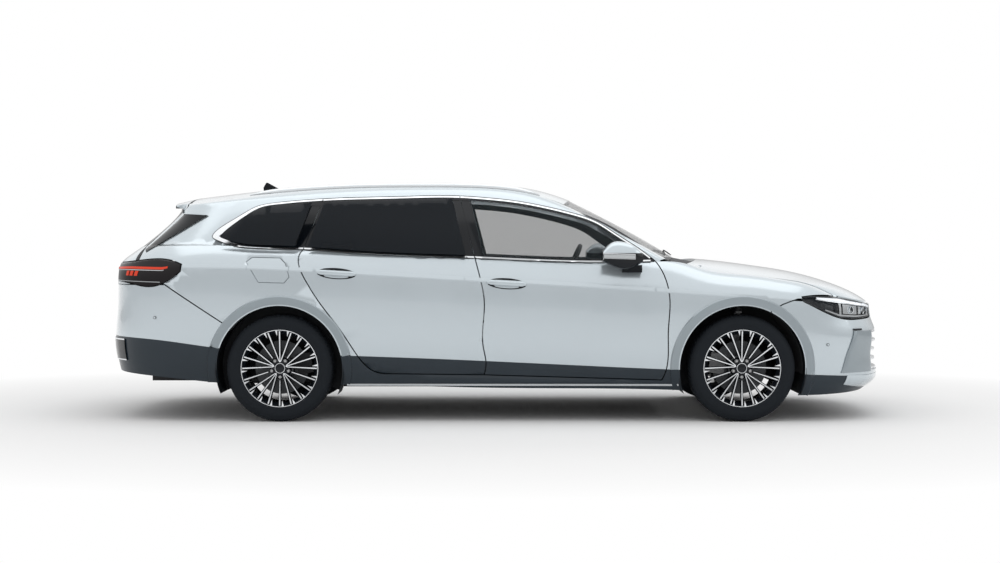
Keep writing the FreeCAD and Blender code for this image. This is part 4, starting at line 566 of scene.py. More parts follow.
class Graph:
    """The nodes of one material or world."""

    def __init__(self, tree: bpy.types.NodeTree) -> None:
        """Empties the tree."""
        self.tree = tree
        tree.nodes.clear()

    def node(self, kind: str, settings: dict | None = None, values: dict | None = None) -> Made:
        """Adds a node.

        Args:
            kind: the node's type.
            settings: its own properties, set first.
            values: numbers, colours or values for its sockets, by name or number.

        Returns:
            The node.
        """
        made = self.tree.nodes.new(kind)
        for name, value in (settings or {}).items():
            setattr(made, name, value)
        for name, value in (values or {}).items():
            socket = made.inputs[name]
            if isinstance(value, Value):
                self.tree.links.new(value.socket, socket)
            else:
                socket.default_value = value
        return Made(self, made)

    def place(self) -> Value:
        """The point in the object's own coordinates."""
        return self.node("ShaderNodeTexCoord").out("Object")

    def along(self, axis: int) -> Value:
        """One of the point's coordinates."""
        return self.node("ShaderNodeSeparateXYZ", None, {0: self.place()}).out(axis)

    def rays(self) -> list[Value]:
        """1 for a camera, a glossy and a transmission ray, each as its own value."""
        path = self.node("ShaderNodeLightPath")
        return [path.out(f"Is {kind} Ray") for kind in ("Camera", "Glossy", "Transmission")]

    def noise(self, scale: float, detail: float = 3.0, roughness: float = 0.5) -> Value:
        """Fractal noise over the point, about 0.5."""
        return self.node("ShaderNodeTexNoise", None, {"Vector": self.place(), "Scale": scale,
                                                      "Detail": detail, "Roughness": roughness}).out("Fac")

    def cells(self, scale: float) -> Value:
        """Distance to the nearest cell centre."""
        return self.node("ShaderNodeTexVoronoi", None, {"Vector": self.place(),
                                                        "Scale": scale}).out("Distance")

    def blend(self, part: Value | float, first: tuple | Value, second: tuple | Value) -> Value:
        """Two colours mixed."""
        made = self.node("ShaderNodeMix", {"data_type": "RGBA"}, {0: part, 6: first, 7: second})
        return made.out(2)

    def bump(self, height: Value, strength: float, distance: float) -> Value:
        """A normal bent by a height."""
        return self.node("ShaderNodeBump", None, {"Strength": strength, "Distance": distance,
                                                  "Height": height}).out()


class Grain(Enum):
    """How a finish varies over its surface."""

    SMOOTH = "smooth"
    MOULDED = "moulded"
    BRUSHED = "brushed"
    CAST = "cast"
    WEAVE = "weave"
    LEATHER = "leather"
    FLAKE = "flake"
    CARPET = "carpet"
    DISC = "disc"


Colour = tuple[float, float, float]


@dataclass(frozen=True)
class Finish:
    """One finish of the car: its colour, gloss and grain, and the record's slot that it stands for."""

    name: str
    slot: str
    colour: Colour
    roughness: float = 0.5
    metallic: float = 0.0
    coat: float = 0.0
    grain: Grain = Grain.SMOOTH
    depth: float = 0.2
    vary: float = 0.08
    glow: Colour | None = None
    alpha: float = 1.0
    sheen: float = 0.0
    specular: float = 0.5

    def material(self) -> bpy.types.Material:
        """The finish's material, made once.

        Returns:
            A node material with the finish's grain in its colour, roughness and bump.
        """
        known = bpy.data.materials.get(f"{self.name}_finish")
        if known:
            return known
        made = bpy.data.materials.new(f"{self.name}_finish")
        made.use_nodes = True
        graph = Graph(made.node_tree)
        height, tone = self._grain(graph)
        dark = (*(c * (1 - self.vary) for c in self.colour), 1.0)
        light = (*(min(1.0, c * (1 + self.vary)) for c in self.colour), 1.0)
        sockets = {"Base Color": graph.blend(tone, dark, light), "Metallic": self.metallic,
                   "Specular IOR Level": self.specular,
                   "Roughness": tone.fit(0, 1, max(0.0, self.roughness - 0.05),
                                         min(1.0, self.roughness + 0.05))}
        if height is not None:
            sockets["Normal"] = graph.bump(height, self.depth, 0.001)
        if self.coat:
            sockets["Coat Weight"] = self.coat
            sockets["Coat Roughness"] = 0.04
        if self.sheen:
            sockets["Sheen Weight"] = self.sheen
            sockets["Sheen Roughness"] = 0.4
        if self.glow:
            sockets["Emission Color"] = (*self.glow, 1.0)
            sockets["Emission Strength"] = 1.0
        if self.alpha < 1:
            edge = graph.node("ShaderNodeLayerWeight", None, {"Blend": 0.2}).out("Facing")
            sockets["Alpha"] = (edge ** 4.0).fit(0.0, 1.0, self.alpha, min(1.0, self.alpha + 0.5))
        surface = graph.node("ShaderNodeBsdfPrincipled", None, sockets)
        graph.node("ShaderNodeOutputMaterial", None, {"Surface": surface.out()})
        made.diffuse_color = (*self.colour, 1.0)
        return made

    def _grain(self, graph: Graph) -> tuple[Value | None, Value]:
        """The height and tone fields of the finish's grain."""
        broad = graph.noise(3.0, 2.0)
        if self.grain is Grain.FLAKE:
            return None, graph.noise(900.0, 1.0) * 0.35 + broad * 0.65
        if self.grain is Grain.MOULDED:
            fine = graph.cells(900.0)
            return fine, broad * 0.5 + fine * 0.5
        if self.grain is Grain.BRUSHED:
            fine = graph.noise(260.0, 2.0)
            return fine, broad * 0.4 + fine * 0.6
        if self.grain is Grain.CAST:
            fine = graph.noise(420.0, 4.0, 0.65)
            return fine, graph.noise(30.0) * 0.5 + fine * 0.5
        if self.grain is Grain.LEATHER:
            fine = graph.cells(380.0)
            return fine, broad * 0.6 + fine * 0.4
        if self.grain is Grain.CARPET:
            fine = graph.noise(700.0, 3.0, 0.8)
            return fine, fine
        if self.grain is Grain.WEAVE:
            along = (graph.along(0) * 1800.0 + graph.along(2) * 1800.0).wave()
            across = (graph.along(1) * 1800.0 + graph.along(2) * 1200.0).wave()
            cross = along * across
            return cross, cross.fit(-1, 1) * 0.7 + broad * 0.3
        if self.grain is Grain.DISC:
            fine = graph.noise(500.0, 2.0)
            return fine, graph.noise(60.0) * 0.6 + fine * 0.4
        return None, broad


class Finishes:
    """Every finish of the car."""

    paint = Finish("silver_paint", "body_paint", (0.56, 0.625, 0.665), 0.22, 0.55, 1.0, Grain.FLAKE,
                   vary=0.03)
    # A darker copy of the silver paint: painted shade on the arch lips above the crease and on the front
    # corner blades.
    paint_in_painted_shade = Finish("silver_paint_in_painted_shade", "body_paint", (0.30, 0.345, 0.372), 0.3, 0.5, 0.6,
                          Grain.FLAKE, vary=0.03, specular=0.3)
    gloss_black = Finish("gloss_black", "gloss_black", (0.005, 0.007, 0.010), 0.12, vary=0.3, specular=0.28)
    black_plastic = Finish("black_plastic", "black_plastic", (0.012, 0.014, 0.017), 0.5, grain=Grain.MOULDED,
                           specular=0.2)
    # Painted shade and painted reflection: a dark grey under the low crease standing for the shaded floor
    # that the lower body reflects.
    painted_shade_below_crease = Finish("lower_body_painted_shade", "body_paint", (0.016, 0.026, 0.036), 0.35, coat=0.3, vary=0.12,
                         specular=0.25)
    bright = Finish("satin_bright", "satin_trim", (0.80, 0.82, 0.84), 0.22, 1.0, grain=Grain.BRUSHED,
                    depth=0.05, vary=0.03)
    rail = Finish("rail_silver", "satin_trim", (0.66, 0.69, 0.71), 0.30, 0.9, grain=Grain.BRUSHED, depth=0.05,
                  vary=0.03)
    clear_glass = Finish("clear_glass", "clear_glass", (0.02, 0.03, 0.035), 0.02, alpha=0.24, vary=0.02,
                         specular=0.3)
    privacy_glass = Finish("privacy_glass", "privacy_glass", (0.003, 0.006, 0.010), 0.03, alpha=0.94,
                           vary=0.05, specular=0.22)
    lamp_lens = Finish("lamp_lens", "lamp_lens", (0.02, 0.022, 0.025), 0.03, alpha=0.05, vary=0.02,
                       specular=0.3)
    lamp_dark = Finish("lamp_housing", "lamp_lens", (0.035, 0.04, 0.045), 0.30, 0.3, vary=0.2)
    lamp_silver = Finish("lamp_reflector", "lamp_lens", (0.75, 0.78, 0.80), 0.12, 1.0, vary=0.03)
    lamp_white = Finish("lamp_light_guide", "lamp_lens", (0.85, 0.88, 0.9), 0.2, glow=(0.35, 0.37, 0.4),
                        vary=0.02)
    tail_dark = Finish("tail_housing", "tail_lens", (0.006, 0.004, 0.005), 0.06, vary=0.2, specular=0.35)
    tail_red = Finish("tail_light_bar", "tail_lens", (0.55, 0.045, 0.02), 0.15, glow=(0.22, 0.015, 0.004),
                      vary=0.08, specular=0.3)
    tyre = Finish("tyre_rubber", "tyre", (0.012, 0.015, 0.019), 0.7, grain=Grain.CAST, depth=0.12, vary=0.15,
                  specular=0.15)
    wheel_black = Finish("wheel_black", "wheel_alloy", (0.006, 0.008, 0.011), 0.25, vary=0.2, specular=0.25)
    wheel_bright = Finish("wheel_machined", "wheel_alloy", (0.80, 0.82, 0.84), 0.20, 1.0, grain=Grain.BRUSHED,
                          depth=0.06, vary=0.04)
    steel = Finish("bare_steel", "bare_steel", (0.42, 0.42, 0.42), 0.35, 0.95, grain=Grain.DISC, depth=0.1)
    # The disc is near black, far darker than bare steel: painted shade behind the spokes.
    disc = Finish("brake_disc_in_painted_shade", "bare_steel", (0.075, 0.08, 0.085), 0.4, 0.7, grain=Grain.DISC, depth=0.1)
    cast = Finish("cast_metal", "cast_metal", (0.28, 0.285, 0.29), 0.55, 0.7, grain=Grain.CAST, depth=0.25,
                  vary=0.2)
    chassis = Finish("chassis_steel", "chassis_steel", (0.03, 0.031, 0.034), 0.5, 0.4, grain=Grain.CAST,
                     vary=0.25)
    underbody = Finish("underbody", "underbody", (0.022, 0.023, 0.025), 0.8, grain=Grain.CAST, depth=0.3,
                       vary=0.2)
    cabin = Finish("cabin_plastic", "cabin_plastic", (0.045, 0.046, 0.05), 0.55, grain=Grain.LEATHER,
                   depth=0.15)
    # The roof lining's grey is darkened to stand for the shade inside the cabin: painted shade.
    headliner_in_painted_shade = Finish("headliner_in_painted_shade", "cabin_plastic", (0.10, 0.10, 0.105), 0.9, grain=Grain.CARPET, depth=0.2)
    cloth = Finish("seat_cloth", "seat_cloth", (0.05, 0.052, 0.058), 0.85, grain=Grain.WEAVE, depth=0.25,
                   vary=0.25, sheen=0.3)
    leather = Finish("wheel_leather", "cabin_plastic", (0.018, 0.018, 0.019), 0.45, grain=Grain.LEATHER,
                     depth=0.3)
    mirror_glass = Finish("mirror_glass", "clear_glass", (0.75, 0.77, 0.78), 0.02, 1.0, vary=0.01)


def linked(name: str, data: bpy.types.ID) -> bpy.types.Object:
    """A new object on its data, put in the scene.

    Args:
        name: the object's name.
        data: its mesh, camera or light.

    Returns:
        The object.
    """
    made = bpy.data.objects.new(name, data)
    bpy.context.scene.collection.objects.link(made)
    return made


def vectors(items: bpy.types.bpy_prop_collection, name: str) -> Array:
    """One vector of each item of a mesh, in rows.

    Args:
        items: the mesh's vertices, faces or normals.
        name: the property.

    Returns:
        An array of three columns.
    """
    values = np.empty(len(items) * 3)
    items.foreach_get(name, values)
    return values.reshape(-1, 3)


def merged(mesh: bpy.types.Mesh, distance: float) -> None:
    """Merges a new mesh's doubles and turns its faces outwards.

    Args:
        mesh: the mesh.
        distance: how near two points are to be one, in metres.
    """
    work = bmesh.new()
    work.from_mesh(mesh)
    bmesh.ops.remove_doubles(work, verts=work.verts, dist=distance)
    bmesh.ops.recalc_face_normals(work, faces=work.faces)
    work.to_mesh(mesh)
    work.free()


class Builder:
    """Collects closed shells in millimetres and makes them one object."""

    def __init__(self, name: str, body: str, side: int = 1, origin: Sequence[float] = (0, 0, 0)) -> None:
        """Starts an empty piece.

        Args:
            name: the piece's name.
            body: the body that it rides on.
            side: 1 for the left, or -1 where its shells are mirrored to the right.
            origin: what its shells' points are measured from, on the left.
        """
        self.name = name
        self.body = body
        self.side = side
        self.origin = origin
        self.points: list[Array] = []
        self.faces: list[list[int]] = []
        self.slots: list[int] = []
        self.finishes: list[Finish] = []
        self.count = 0

    def add(self, points: Array, faces: Sequence[Sequence[int]], finish: Finish) -> "Builder":
        """Adds a shell.

        Args:
            points: its vertices in millimetres.
            faces: vertex numbers of each face.
            finish: what it is finished in.

        Returns:
            The builder, for the next shell.
        """
        if finish not in self.finishes:
            self.finishes.append(finish)
        placed = (points.reshape(-1, 3) + self.origin) * (1, self.side, 1)
        self.points.append(placed)
        self.faces.extend([[self.count + i for i in face] for face in faces])
        self.slots.extend([self.finishes.index(finish)] * len(faces))
        self.count += len(placed)
        return self

    def grid(self, outer: Array, inner: Array, finish: Finish) -> "Builder":
        """Adds a closed slab between two like grids, its four edges joined."""
        rows, columns = outer.shape[:2]
        points = np.concatenate([outer.reshape(-1, 3), inner.reshape(-1, 3)])
        return self.add(points, slab_faces(rows, columns), finish)

    def mirrored(self) -> "Builder":
        """Adds every shell again across the middle plane."""
        self.points.append(np.concatenate(self.points) * (1, -1, 1))
        self.faces.extend([[self.count + i for i in reversed(face)] for face in self.faces])
        self.slots.extend(list(self.slots))
        self.count *= 2
        return self

    def make(self, replaces: Sequence[str] = (), smooth: float = 35.0,
             bevel: float = 0.0) -> bpy.types.Object:
        """Makes the object.

        Args:
            replaces: the CAD nodes that it stands for.
            smooth: the angle in degrees under which faces shade as one.
            bevel: width in millimetres of a rounding on its edges.

        Returns:
            The finished object, riding on its body.
        """
        mesh = bpy.data.meshes.new(self.name)
        mesh.from_pydata((np.concatenate(self.points) * MM).tolist(), [], self.faces)
        for finish in self.finishes:
            mesh.materials.append(finish.material())
        mesh.polygons.foreach_set("material_index", np.array(self.slots, np.int32))
        merged(mesh, 1e-6)
        mesh.shade_smooth()
        mesh.set_sharp_from_angle(angle=math.radians(smooth))
        made = linked(self.name, mesh)
        if bevel:
            rounding = made.modifiers.new("rounding", "BEVEL")
            rounding.width = bevel * MM
            rounding.segments = 2
            rounding.limit_method = "ANGLE"
            rounding.angle_limit = math.radians(40)
            rounding.harden_normals = False
        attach(made, self.body)
        if replaces:
            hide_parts(*replaces)
        log.info("%s: %d faces on %s", self.name, len(mesh.polygons), self.body)
        return made


def grid_faces(rows: int, columns: int, close_rows: bool = False,
               close_columns: bool = False) -> list[list[int]]:
    """Quads of a grid of points, joined round where it closes.

    Args:
        rows: how many rows of points there are.
        columns: how many points a row has.
        close_rows: whether the last row joins the first.
        close_columns: whether each row's end joins its start.

    Returns:
        The vertex numbers of each quad.
    """
    r = np.arange(rows if close_rows else rows - 1)[:, None]
    c = np.arange(columns if close_columns else columns - 1)[None, :]
    a = r * columns + c
    b = r * columns + (c + 1) % columns
    d = ((r + 1) % rows) * columns + c
    e = ((r + 1) % rows) * columns + (c + 1) % columns
    return np.stack([a + 0 * d, b + 0 * d, e, d], -1).reshape(-1, 4).tolist()


def slab_faces(rows: int, columns: int) -> list[list[int]]:
    """Faces of two grids back to back and the four walls between their edges.

    Args:
        rows: how many rows each grid has.
        columns: how many points a row has.

    Returns:
        The vertex numbers of each face.
    """
    count = rows * columns
    faces = grid_faces(rows, columns)
    back = [[count + i for i in reversed(face)] for face in faces]
    index = np.arange(count).reshape(rows, columns)
    rim = np.concatenate([index[0, :], index[1:, -1], index[-1, -2::-1], index[-2:0:-1, 0]])
    after = np.roll(rim, -1)
    walls = np.stack([rim, rim + count, after + count, after], -1).tolist()
    return faces + back + walls


def sweep(path: Array, up: Array, section: Array, closed: bool = False,
          scale: Array | None = None) -> tuple[Array, list]:
    """A section carried along a path.

    Args:
        path: the points of the path.
        up: the direction of the section's second axis at each point.
        section: its outline as (aside, up) pairs, closed round.
        closed: whether the path's end joins its start.
        scale: the section's (aside, up) scale at each point.

    Returns:
        The shell's points and faces, its ends capped unless it is closed.
    """
    along = np.roll(path, -1, 0) - np.roll(path, 1, 0) if closed else np.gradient(path, axis=0)
    along = along / np.linalg.norm(along, axis=1)[:, None]
    up = np.broadcast_to(up, path.shape)
    aside = np.cross(up, along)
    aside = aside / np.linalg.norm(aside, axis=1)[:, None]
    rise = np.cross(along, aside)
    shape = section[None] if scale is None else section[None] * scale[:, None, :]
    points = path[:, None] + shape[..., :1] * aside[:, None] + shape[..., 1:] * rise[:, None]
    rows, columns = points.shape[:2]
    faces = grid_faces(rows, columns, closed, True)
    if not closed:
        faces += [list(range(columns - 1, -1, -1)), list(range((rows - 1) * columns, rows * columns))]
    return points.reshape(-1, 3), faces


def rounded(wide: float, high: float, power: float = 4.0, count: int = 12) -> Array:
    """A super-ellipse section.

    Args:
        wide: its width.
        high: its height.
        power: 2 for an ellipse, and more for squarer corners.
        count: how many points it has.

    Returns:
        (aside, up) pairs, closed round.
    """
    angle = np.linspace(0, 2 * math.pi, count, endpoint=False) + math.pi / count
    c = np.cos(angle)
    s = np.sin(angle)
    scale = (np.abs(c) ** power + np.abs(s) ** power) ** (-1 / power)
    return np.stack([c * scale * wide / 2, s * scale * high / 2], -1)


def revolved(profile: Array, count: int) -> tuple[Array, list]:
    """A closed (radius, y) profile turned about the Y axis.

    Args:
        profile: (radius, y) points, closed round.
        count: how many steps the turn has.

    Returns:
        The shell's points and faces.
    """
    angle = np.linspace(0, 2 * math.pi, count, endpoint=False)[:, None]
    radius, y = profile[None, :, 0], profile[None, :, 1]
    points = np.stack([radius * np.cos(angle), y + 0 * angle, radius * np.sin(angle)], -1)
    return points.reshape(-1, 3), grid_faces(count, len(profile), True, True)


BLOCK_FACES = [[0, 1, 3, 2], [4, 6, 7, 5], [0, 4, 5, 1], [2, 3, 7, 6], [0, 2, 6, 4], [1, 5, 7, 3]]


def box_shell(low: Sequence[float], high: Sequence[float]) -> tuple[Array, list]:
    """A six sided block's corners and faces, to be rounded by a bevel."""
    return np.stack(np.meshgrid(*zip(low, high), indexing="ij"), -1).reshape(-1, 3), BLOCK_FACES


class Panel:
    """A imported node's mesh, merged and given the body's true normals and its finishes."""

    def __init__(self, node: str, name: str, skins: Sequence[Skin], finishes: Sequence[Finish],
                 choose: Callable[[Array, Array], Array] | None = None, smooth: float = 30.0,
                 cuts: Sequence[tuple[float, int]] = ()) -> None:
        """Keeps what the panel is made from.

        Args:
            node: the CAD node.
            name: the new piece's name.
            skins: the smooth surfaces that its faces may lie on.
            finishes: the finishes that its faces choose from.
            choose: gives each face a finish number from its centre and normal, in millimetres.
            smooth: the angle under which other faces shade as one.
            cuts: planes that its faces are divided at, each a place in millimetres and an axis number.
        """
        self.cuts = cuts
        self.node = node
        self.name = name
        self.skins = skins
        self.finishes = finishes
        self.choose = choose
        self.smooth = smooth

    def make(self) -> bpy.types.Object:
        """Copies, merges, shades and dresses the node, and stands for it."""
        source = frame["nodes"][self.node]
        mesh = source.data.copy()
        mesh.name = self.name
        work = bmesh.new()
        work.from_mesh(mesh)
        bmesh.ops.remove_doubles(work, verts=work.verts, dist=2e-6)
        for place, axis in self.cuts:
            way = [0.0, 0.0, 0.0]
            way[axis] = 1.0
            everything = [*work.verts, *work.edges, *work.faces]
            bmesh.ops.bisect_plane(work, geom=everything, plane_co=[place * MM * part for part in way],
                                   plane_no=way)
        work.to_mesh(mesh)
        work.free()
        mesh.materials.clear()
        for finish in self.finishes:
            mesh.materials.append(finish.material())
        mesh.shade_smooth()
        mesh.set_sharp_from_angle(angle=math.radians(self.smooth))
        self._dress(mesh)
        made = linked(self.name, mesh)
        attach(made, body_of(source)[0])
        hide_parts(self.node)
        log.info("%s: %d faces over %s", self.name, len(mesh.polygons), self.node)
        return made

    def _dress(self, mesh: bpy.types.Mesh) -> None:
        """Sets each face's finish and each corner's normal.

        A corner takes a skin's normal where it lies within 1.2 mm of it and its face looks the same
        way within 40 degrees, read a little towards the face's centre so creases stay crisp.
        """
        count = len(mesh.polygons)
        centre = vectors(mesh.polygons, "center") / MM
        facing = vectors(mesh.polygons, "normal")
        chosen = self.choose(centre, facing) if self.choose else np.zeros(count)
        mesh.polygons.foreach_set("material_index", chosen.astype(np.int32))
        if not self.skins:
            return
        vertex = np.empty(len(mesh.loops), np.int32)
        mesh.loops.foreach_get("vertex_index", vertex)
        total = np.empty(count, np.int32)
        mesh.polygons.foreach_get("loop_total", total)
        owner = np.repeat(np.arange(count), total)
        normal = vectors(mesh.corner_normals, "vector")
        at = (vectors(mesh.vertices, "co") / MM)[vertex]
        toward = centre[owner] - at
        length = np.maximum(np.linalg.norm(toward, axis=1), 1e-6)
        nudged = at + toward * np.minimum(1.5 / length, 0.3)[:, None]
        free = np.ones(len(vertex), bool)
        for skin in self.skins:
            gap, way = skin.read(nudged)
            fits = (gap < 1.2) & ((way * facing[owner]).sum(1) > math.cos(math.radians(40))) & free
            normal[fits] = way[fits]
            free &= ~fits
        mesh.normals_split_custom_set(normal.tolist())


def inner_face(centre: Array, facing: Array) -> Array:
    """True for faces that look towards the middle of the car."""
    return facing[:, 1] * np.sign(centre[:, 1]) < -0.3


def below_crease(centre: Array) -> Array:
    """True under the low crease that runs along the car."""
    return centre[:, 2] < LINES.crease_z(centre[:, 0])


def paint_and_cabin(centre: Array, facing: Array) -> Array:
    """Paint outside, dark grey painted shade below the crease, and cabin trim inside and under the roof's
    rails.
    """
    lining = (facing[:, 2] < -0.15) & (centre[:, 2] > LINES.belt_z(centre[:, 0]) + 12)
    return np.where(inner_face(centre, facing) | lining, 1, np.where(below_crease(centre), 2, 0))


def shell_finish(centre: Array, facing: Array) -> Array:
    """Paint, and dark grey painted shade below the crease."""
    return np.where(below_crease(centre), 1, 0)


def door_finish(centre: Array, facing: Array) -> Array:
    """Paint below the belt, black frames above it, dark grey painted shade below the crease and cabin trim
    inside.
    """
    above = centre[:, 2] > LINES.belt_z(centre[:, 0]) + 1.0
    outside = np.where(above, 2, np.where(below_crease(centre), 3, 0))
    return np.where(inner_face(centre, facing), 1, outside)


SIDES = (("left", 1), ("right", -1))


def band(path: Array, near: float, far: float, proud: float, thick: float,
         rows: int = 3) -> tuple[Array, Array]:
    """A strip that follows the flank beside a path.

    Args:
        path: (station, height) points.
        near: how far the strip's first edge lies to the path's left.
        far: how far its other edge lies to the path's left; each may be a number or one per point.
        proud: how far its face stands off the skin.
        thick: its thickness.
        rows: points across it.

    Returns:
        The grids of its face and its back.
    """
    along = np.gradient(path, axis=0)
    along /= np.linalg.norm(along, axis=1)[:, None]
    left = np.stack([-along[:, 1], along[:, 0]], -1)
    share = np.linspace(0, 1, rows)[:, None, None]
    near = np.broadcast_to(near, len(path))[None, :, None]
    far = np.broadcast_to(far, len(path))[None, :, None]
    place = path[None] + left[None] * mix(near, far, share)
    x, z = place[..., 0], place[..., 1]
    return flank_slab(x, z, proud, proud - thick)


def wrap_patch(turns: Array, low: Array, high: Array, depth: float | Array, thick: float, nose: bool,
               rows: int = 4) -> tuple[Array, Array]:
    """A patch of the nose or tail between two heights at each turn: the grids of its face and back.

    Args:
        turns: the wrap angles of its columns.
        low: its lower height at each turn.
        high: its upper height at each turn.
        depth: how far its face is set in.
        thick: its thickness.
        nose: whether it lies on the nose.
        rows: points from low to high.

    Returns:
        The grids of its face and its back.
    """
    share = np.linspace(0, 1, rows)[:, None]
    z = mix(low[None], high[None], share)
    turn = np.broadcast_to(turns[None], z.shape)
    return wrap_point(turn, z, nose, depth), wrap_point(turn, z, nose, depth + thick)


def wrap_turn(aside: float, nose: bool) -> float:
    """The wrap angle at which the nose or tail stands a distance from the middle plane."""
    power = NOSE_POWER if nose else TAIL_POWER
    share = aside / HALF_WIDTH
    return math.atan2(share, (1 - share**power) ** (1 / power))


@dataclass(frozen=True)
class Wheels:
    """Four road wheels: treaded tyres, and black wheels with thin bright spokes in fives of three."""

    tyre_radius: float = 328.0
    pitches: int = 72
    tread_edge: float = 96.0
    groove_at: tuple[float, ...] = (50.0, 17.0, -17.0, -50.0)
    groove_half: float = 4.5
    groove_deep: float = 7.0
    sipe_deep: float = 5.0
    groups: int = 5
    spoke_step: float = 18.0
    foot_step: float = 7.0
    spoke_foot: float = 44.0
    single_foot: float = 76.0
    ring: float = 238.0
    face_hub: float = 84.0
    face_rim: float = 103.0
    dish: float = 10.0
    bolt_ring: float = 53.0

    def make(self) -> None:
        """Builds each wheel and each tyre where the car carries it."""
        for end, axle in (("front", FRONT_AXLE), ("rear", REAR_AXLE)):
            for name, side in SIDES:
                place = (f"wheel_{end}_{name}", side, (axle, TRACK_HALF, AXLE_HEIGHT))
                self.tyre(Builder(f"tyre_with_tread_{end}_{name}", *place), f"tyre_{end}_{name}")
                self.wheel(Builder(f"alloy_wheel_{end}_{name}", *place), f"rim_{end}_{name}")

    def tyre(self, build: Builder, node: str) -> None:
        """The tyre: a bulged sidewall with ribs, four grooves round it and cuts across its blocks.

        Args:
            build: what it is added to.
            node: the CAD node that it stands for.
        """
        wall = [(229, 96), (234, 98), (241.5, 108), (246, 111.5), (252, 113.6), (255, 113.2), (262, 115),
                (272, 116.9), (283, 117.4), (292, 116.8), (298, 115.6), (300, 114.2), (306, 111.6),
                (312, 107), (318, 101.5), (322.5, 95), (325.6, 87), (327, 78)]
        tread = []
        floor = self.tyre_radius - self.groove_deep
        for at in self.groove_at:
            half = self.groove_half
            tread += [(self.tyre_radius, at + half + 1), (floor, at + half - 1), (floor, at - half + 1),
                      (self.tyre_radius, at - half - 1)]
        section = np.array(wall + tread + [(radius, -y) for radius, y in reversed(wall)])
        step = 360 / self.pitches
        marks = np.arange(self.pitches)[:, None] * step + np.array([0, 0.55, 1.1, 3.05])
        angle = np.radians(marks.ravel())
        cut = np.tile([0.0, self.sipe_deep, 0.0, 0.0], self.pitches)
        cut_here = (np.abs(section[:, 1]) < self.tread_edge) & (section[:, 0] > self.tyre_radius - 6)
        radius = section[None, :, 0] - cut[:, None] * cut_here[None]
        slant = angle[:, None] + 0.0007 * np.abs(section[None, :, 1])
        points = np.stack([radius * np.cos(slant), section[None, :, 1] + 0 * radius,
                           radius * np.sin(slant)], -1)
        build.add(points, grid_faces(len(angle), len(section), True, True), Finishes.tyre)
        build.make([node], 32)

    def wheel(self, build: Builder, node: str) -> None:
        """The wheel: barrel, ring, spokes, teeth, hub, bare cap, bolts and brake disc.

        Args:
            build: what it is added to.
            node: the CAD node that it stands for.
        """
        black, bright = Finishes.wheel_black, Finishes.wheel_bright
        ring = self.ring
        turned = [
            ([(214, -103), (239.5, -103), (239.5, -99), (227, -96), (227, 96), (239.5, 99), (239.5, 103.5),
              (237, 105), (229, 103), (222, 92), (212, 77), (216, 47)], black, 96),
            ([(ring - 5, 101), (ring, 103), (ring, 106), (ring - 1, 106.6), (ring - 4, 106.2),
              (ring - 5, 105)],
             bright, 144),
            ([(1, 44), (70, 44), (66, 62), (60, 74), (48, 82), (36, 83.5), (33, 80), (31, 78), (1, 78)],
             black, 96),
            ([(1, 79), (30.5, 79), (30.5, 84), (28, 86.5), (20, 88), (10, 88.8), (1, 89)],
             Finishes.gloss_black, 48),
            ([(29, 84), (31, 84), (31.4, 86), (30, 86.6), (28.6, 86)], bright, 48),
            ([(78, -36), (165, -36), (165, -27.5), (150, -27), (150, -19), (165, -18.5), (165, -10),
              (84, -10), (82, 10), (78, 40), (60, 42), (60, -20)], Finishes.disc, 96),
        ]
        for profile, finish, count in turned:
            build.add(*revolved(np.array(profile, float), count), finish)
        for group in range(self.groups):
            middle = 90 + group * 360 / self.groups
            for step in (-1, 0, 1):
                self.spoke(build, (self.spoke_foot, middle + step * self.foot_step),
                           (ring - 5, middle + step * self.spoke_step))
            single = middle + 180 / self.groups
            self.spoke(build, (self.single_foot, single), (ring - 5, single))
            self.node(build, middle)
            self.bolt(build, single)
        for number in range(4 * self.groups):
            self.tooth(build, 90 + number * self.spoke_step)
        build.make([node], 30)

    def polar(self, radius: Array, degrees: Array, y: Array) -> Array:
        """Points by radius and angle about the axle."""
        turn = np.radians(degrees)
        return np.stack([radius * np.cos(turn), y + 0 * turn, radius * np.sin(turn)], -1)

    def front(self, radius: Array) -> Array:
        """How far out the spokes' faces stand at a radius, dished between hub and ring."""
        share = (radius - self.spoke_foot) / (self.ring - self.spoke_foot)
        return self.face_hub + (self.face_rim - self.face_hub) * share - self.dish * share * (1 - share)

    def spoke(self, build: Builder, start: tuple[float, float], end: tuple[float, float]) -> None:
        """One spoke between two (radius, angle) pairs: a deep black web and a thin bright face.

        Args:
            build: what it is added to.
            start: radius and angle at the hub.
            end: radius and angle at the ring.
        """
        share = np.linspace(0, 1, 9)
        ends = [self.polar(np.array(radius, float), np.array(turn, float), np.array(0.0))
                for radius, turn in (start, end)]
        path = mix(ends[0][None], ends[1][None], share[:, None])
        path[:, 1] = self.front(np.hypot(path[:, 0], path[:, 2]))
        out = np.array([0.0, 1.0, 0.0])
        web = np.array([(-0.5, -1), (0.5, -1), (0.5, -0.12), (0.36, 0), (-0.36, 0), (-0.5, -0.12)])
        size = np.stack([mix(12.0, 17.0, share), mix(36.0, 28.0, share)], -1)
        build.add(*sweep(path, out, web, scale=size), Finishes.wheel_black)
        strip = np.array([(-0.5, -1), (0.5, -1), (0.42, 1), (-0.42, 1)])
        size = np.stack([mix(5.5, 9.0, share), 0.9 + 0 * share], -1)
        build.add(*sweep(path, out, strip, scale=size), Finishes.wheel_bright)

    def node(self, build: Builder, middle: float) -> None:
        """The small bright point in which three spokes meet."""
        radius = np.array([36.0, 40.0, 48.0, 48.0, 40.0])
        turn = middle + np.array([0.0, 6.0, 9.5, -9.5, -6.0])
        face = self.front(radius)
        self.plate(build, self.polar(radius, turn, face + 1.4), self.polar(radius, turn, face - 4))

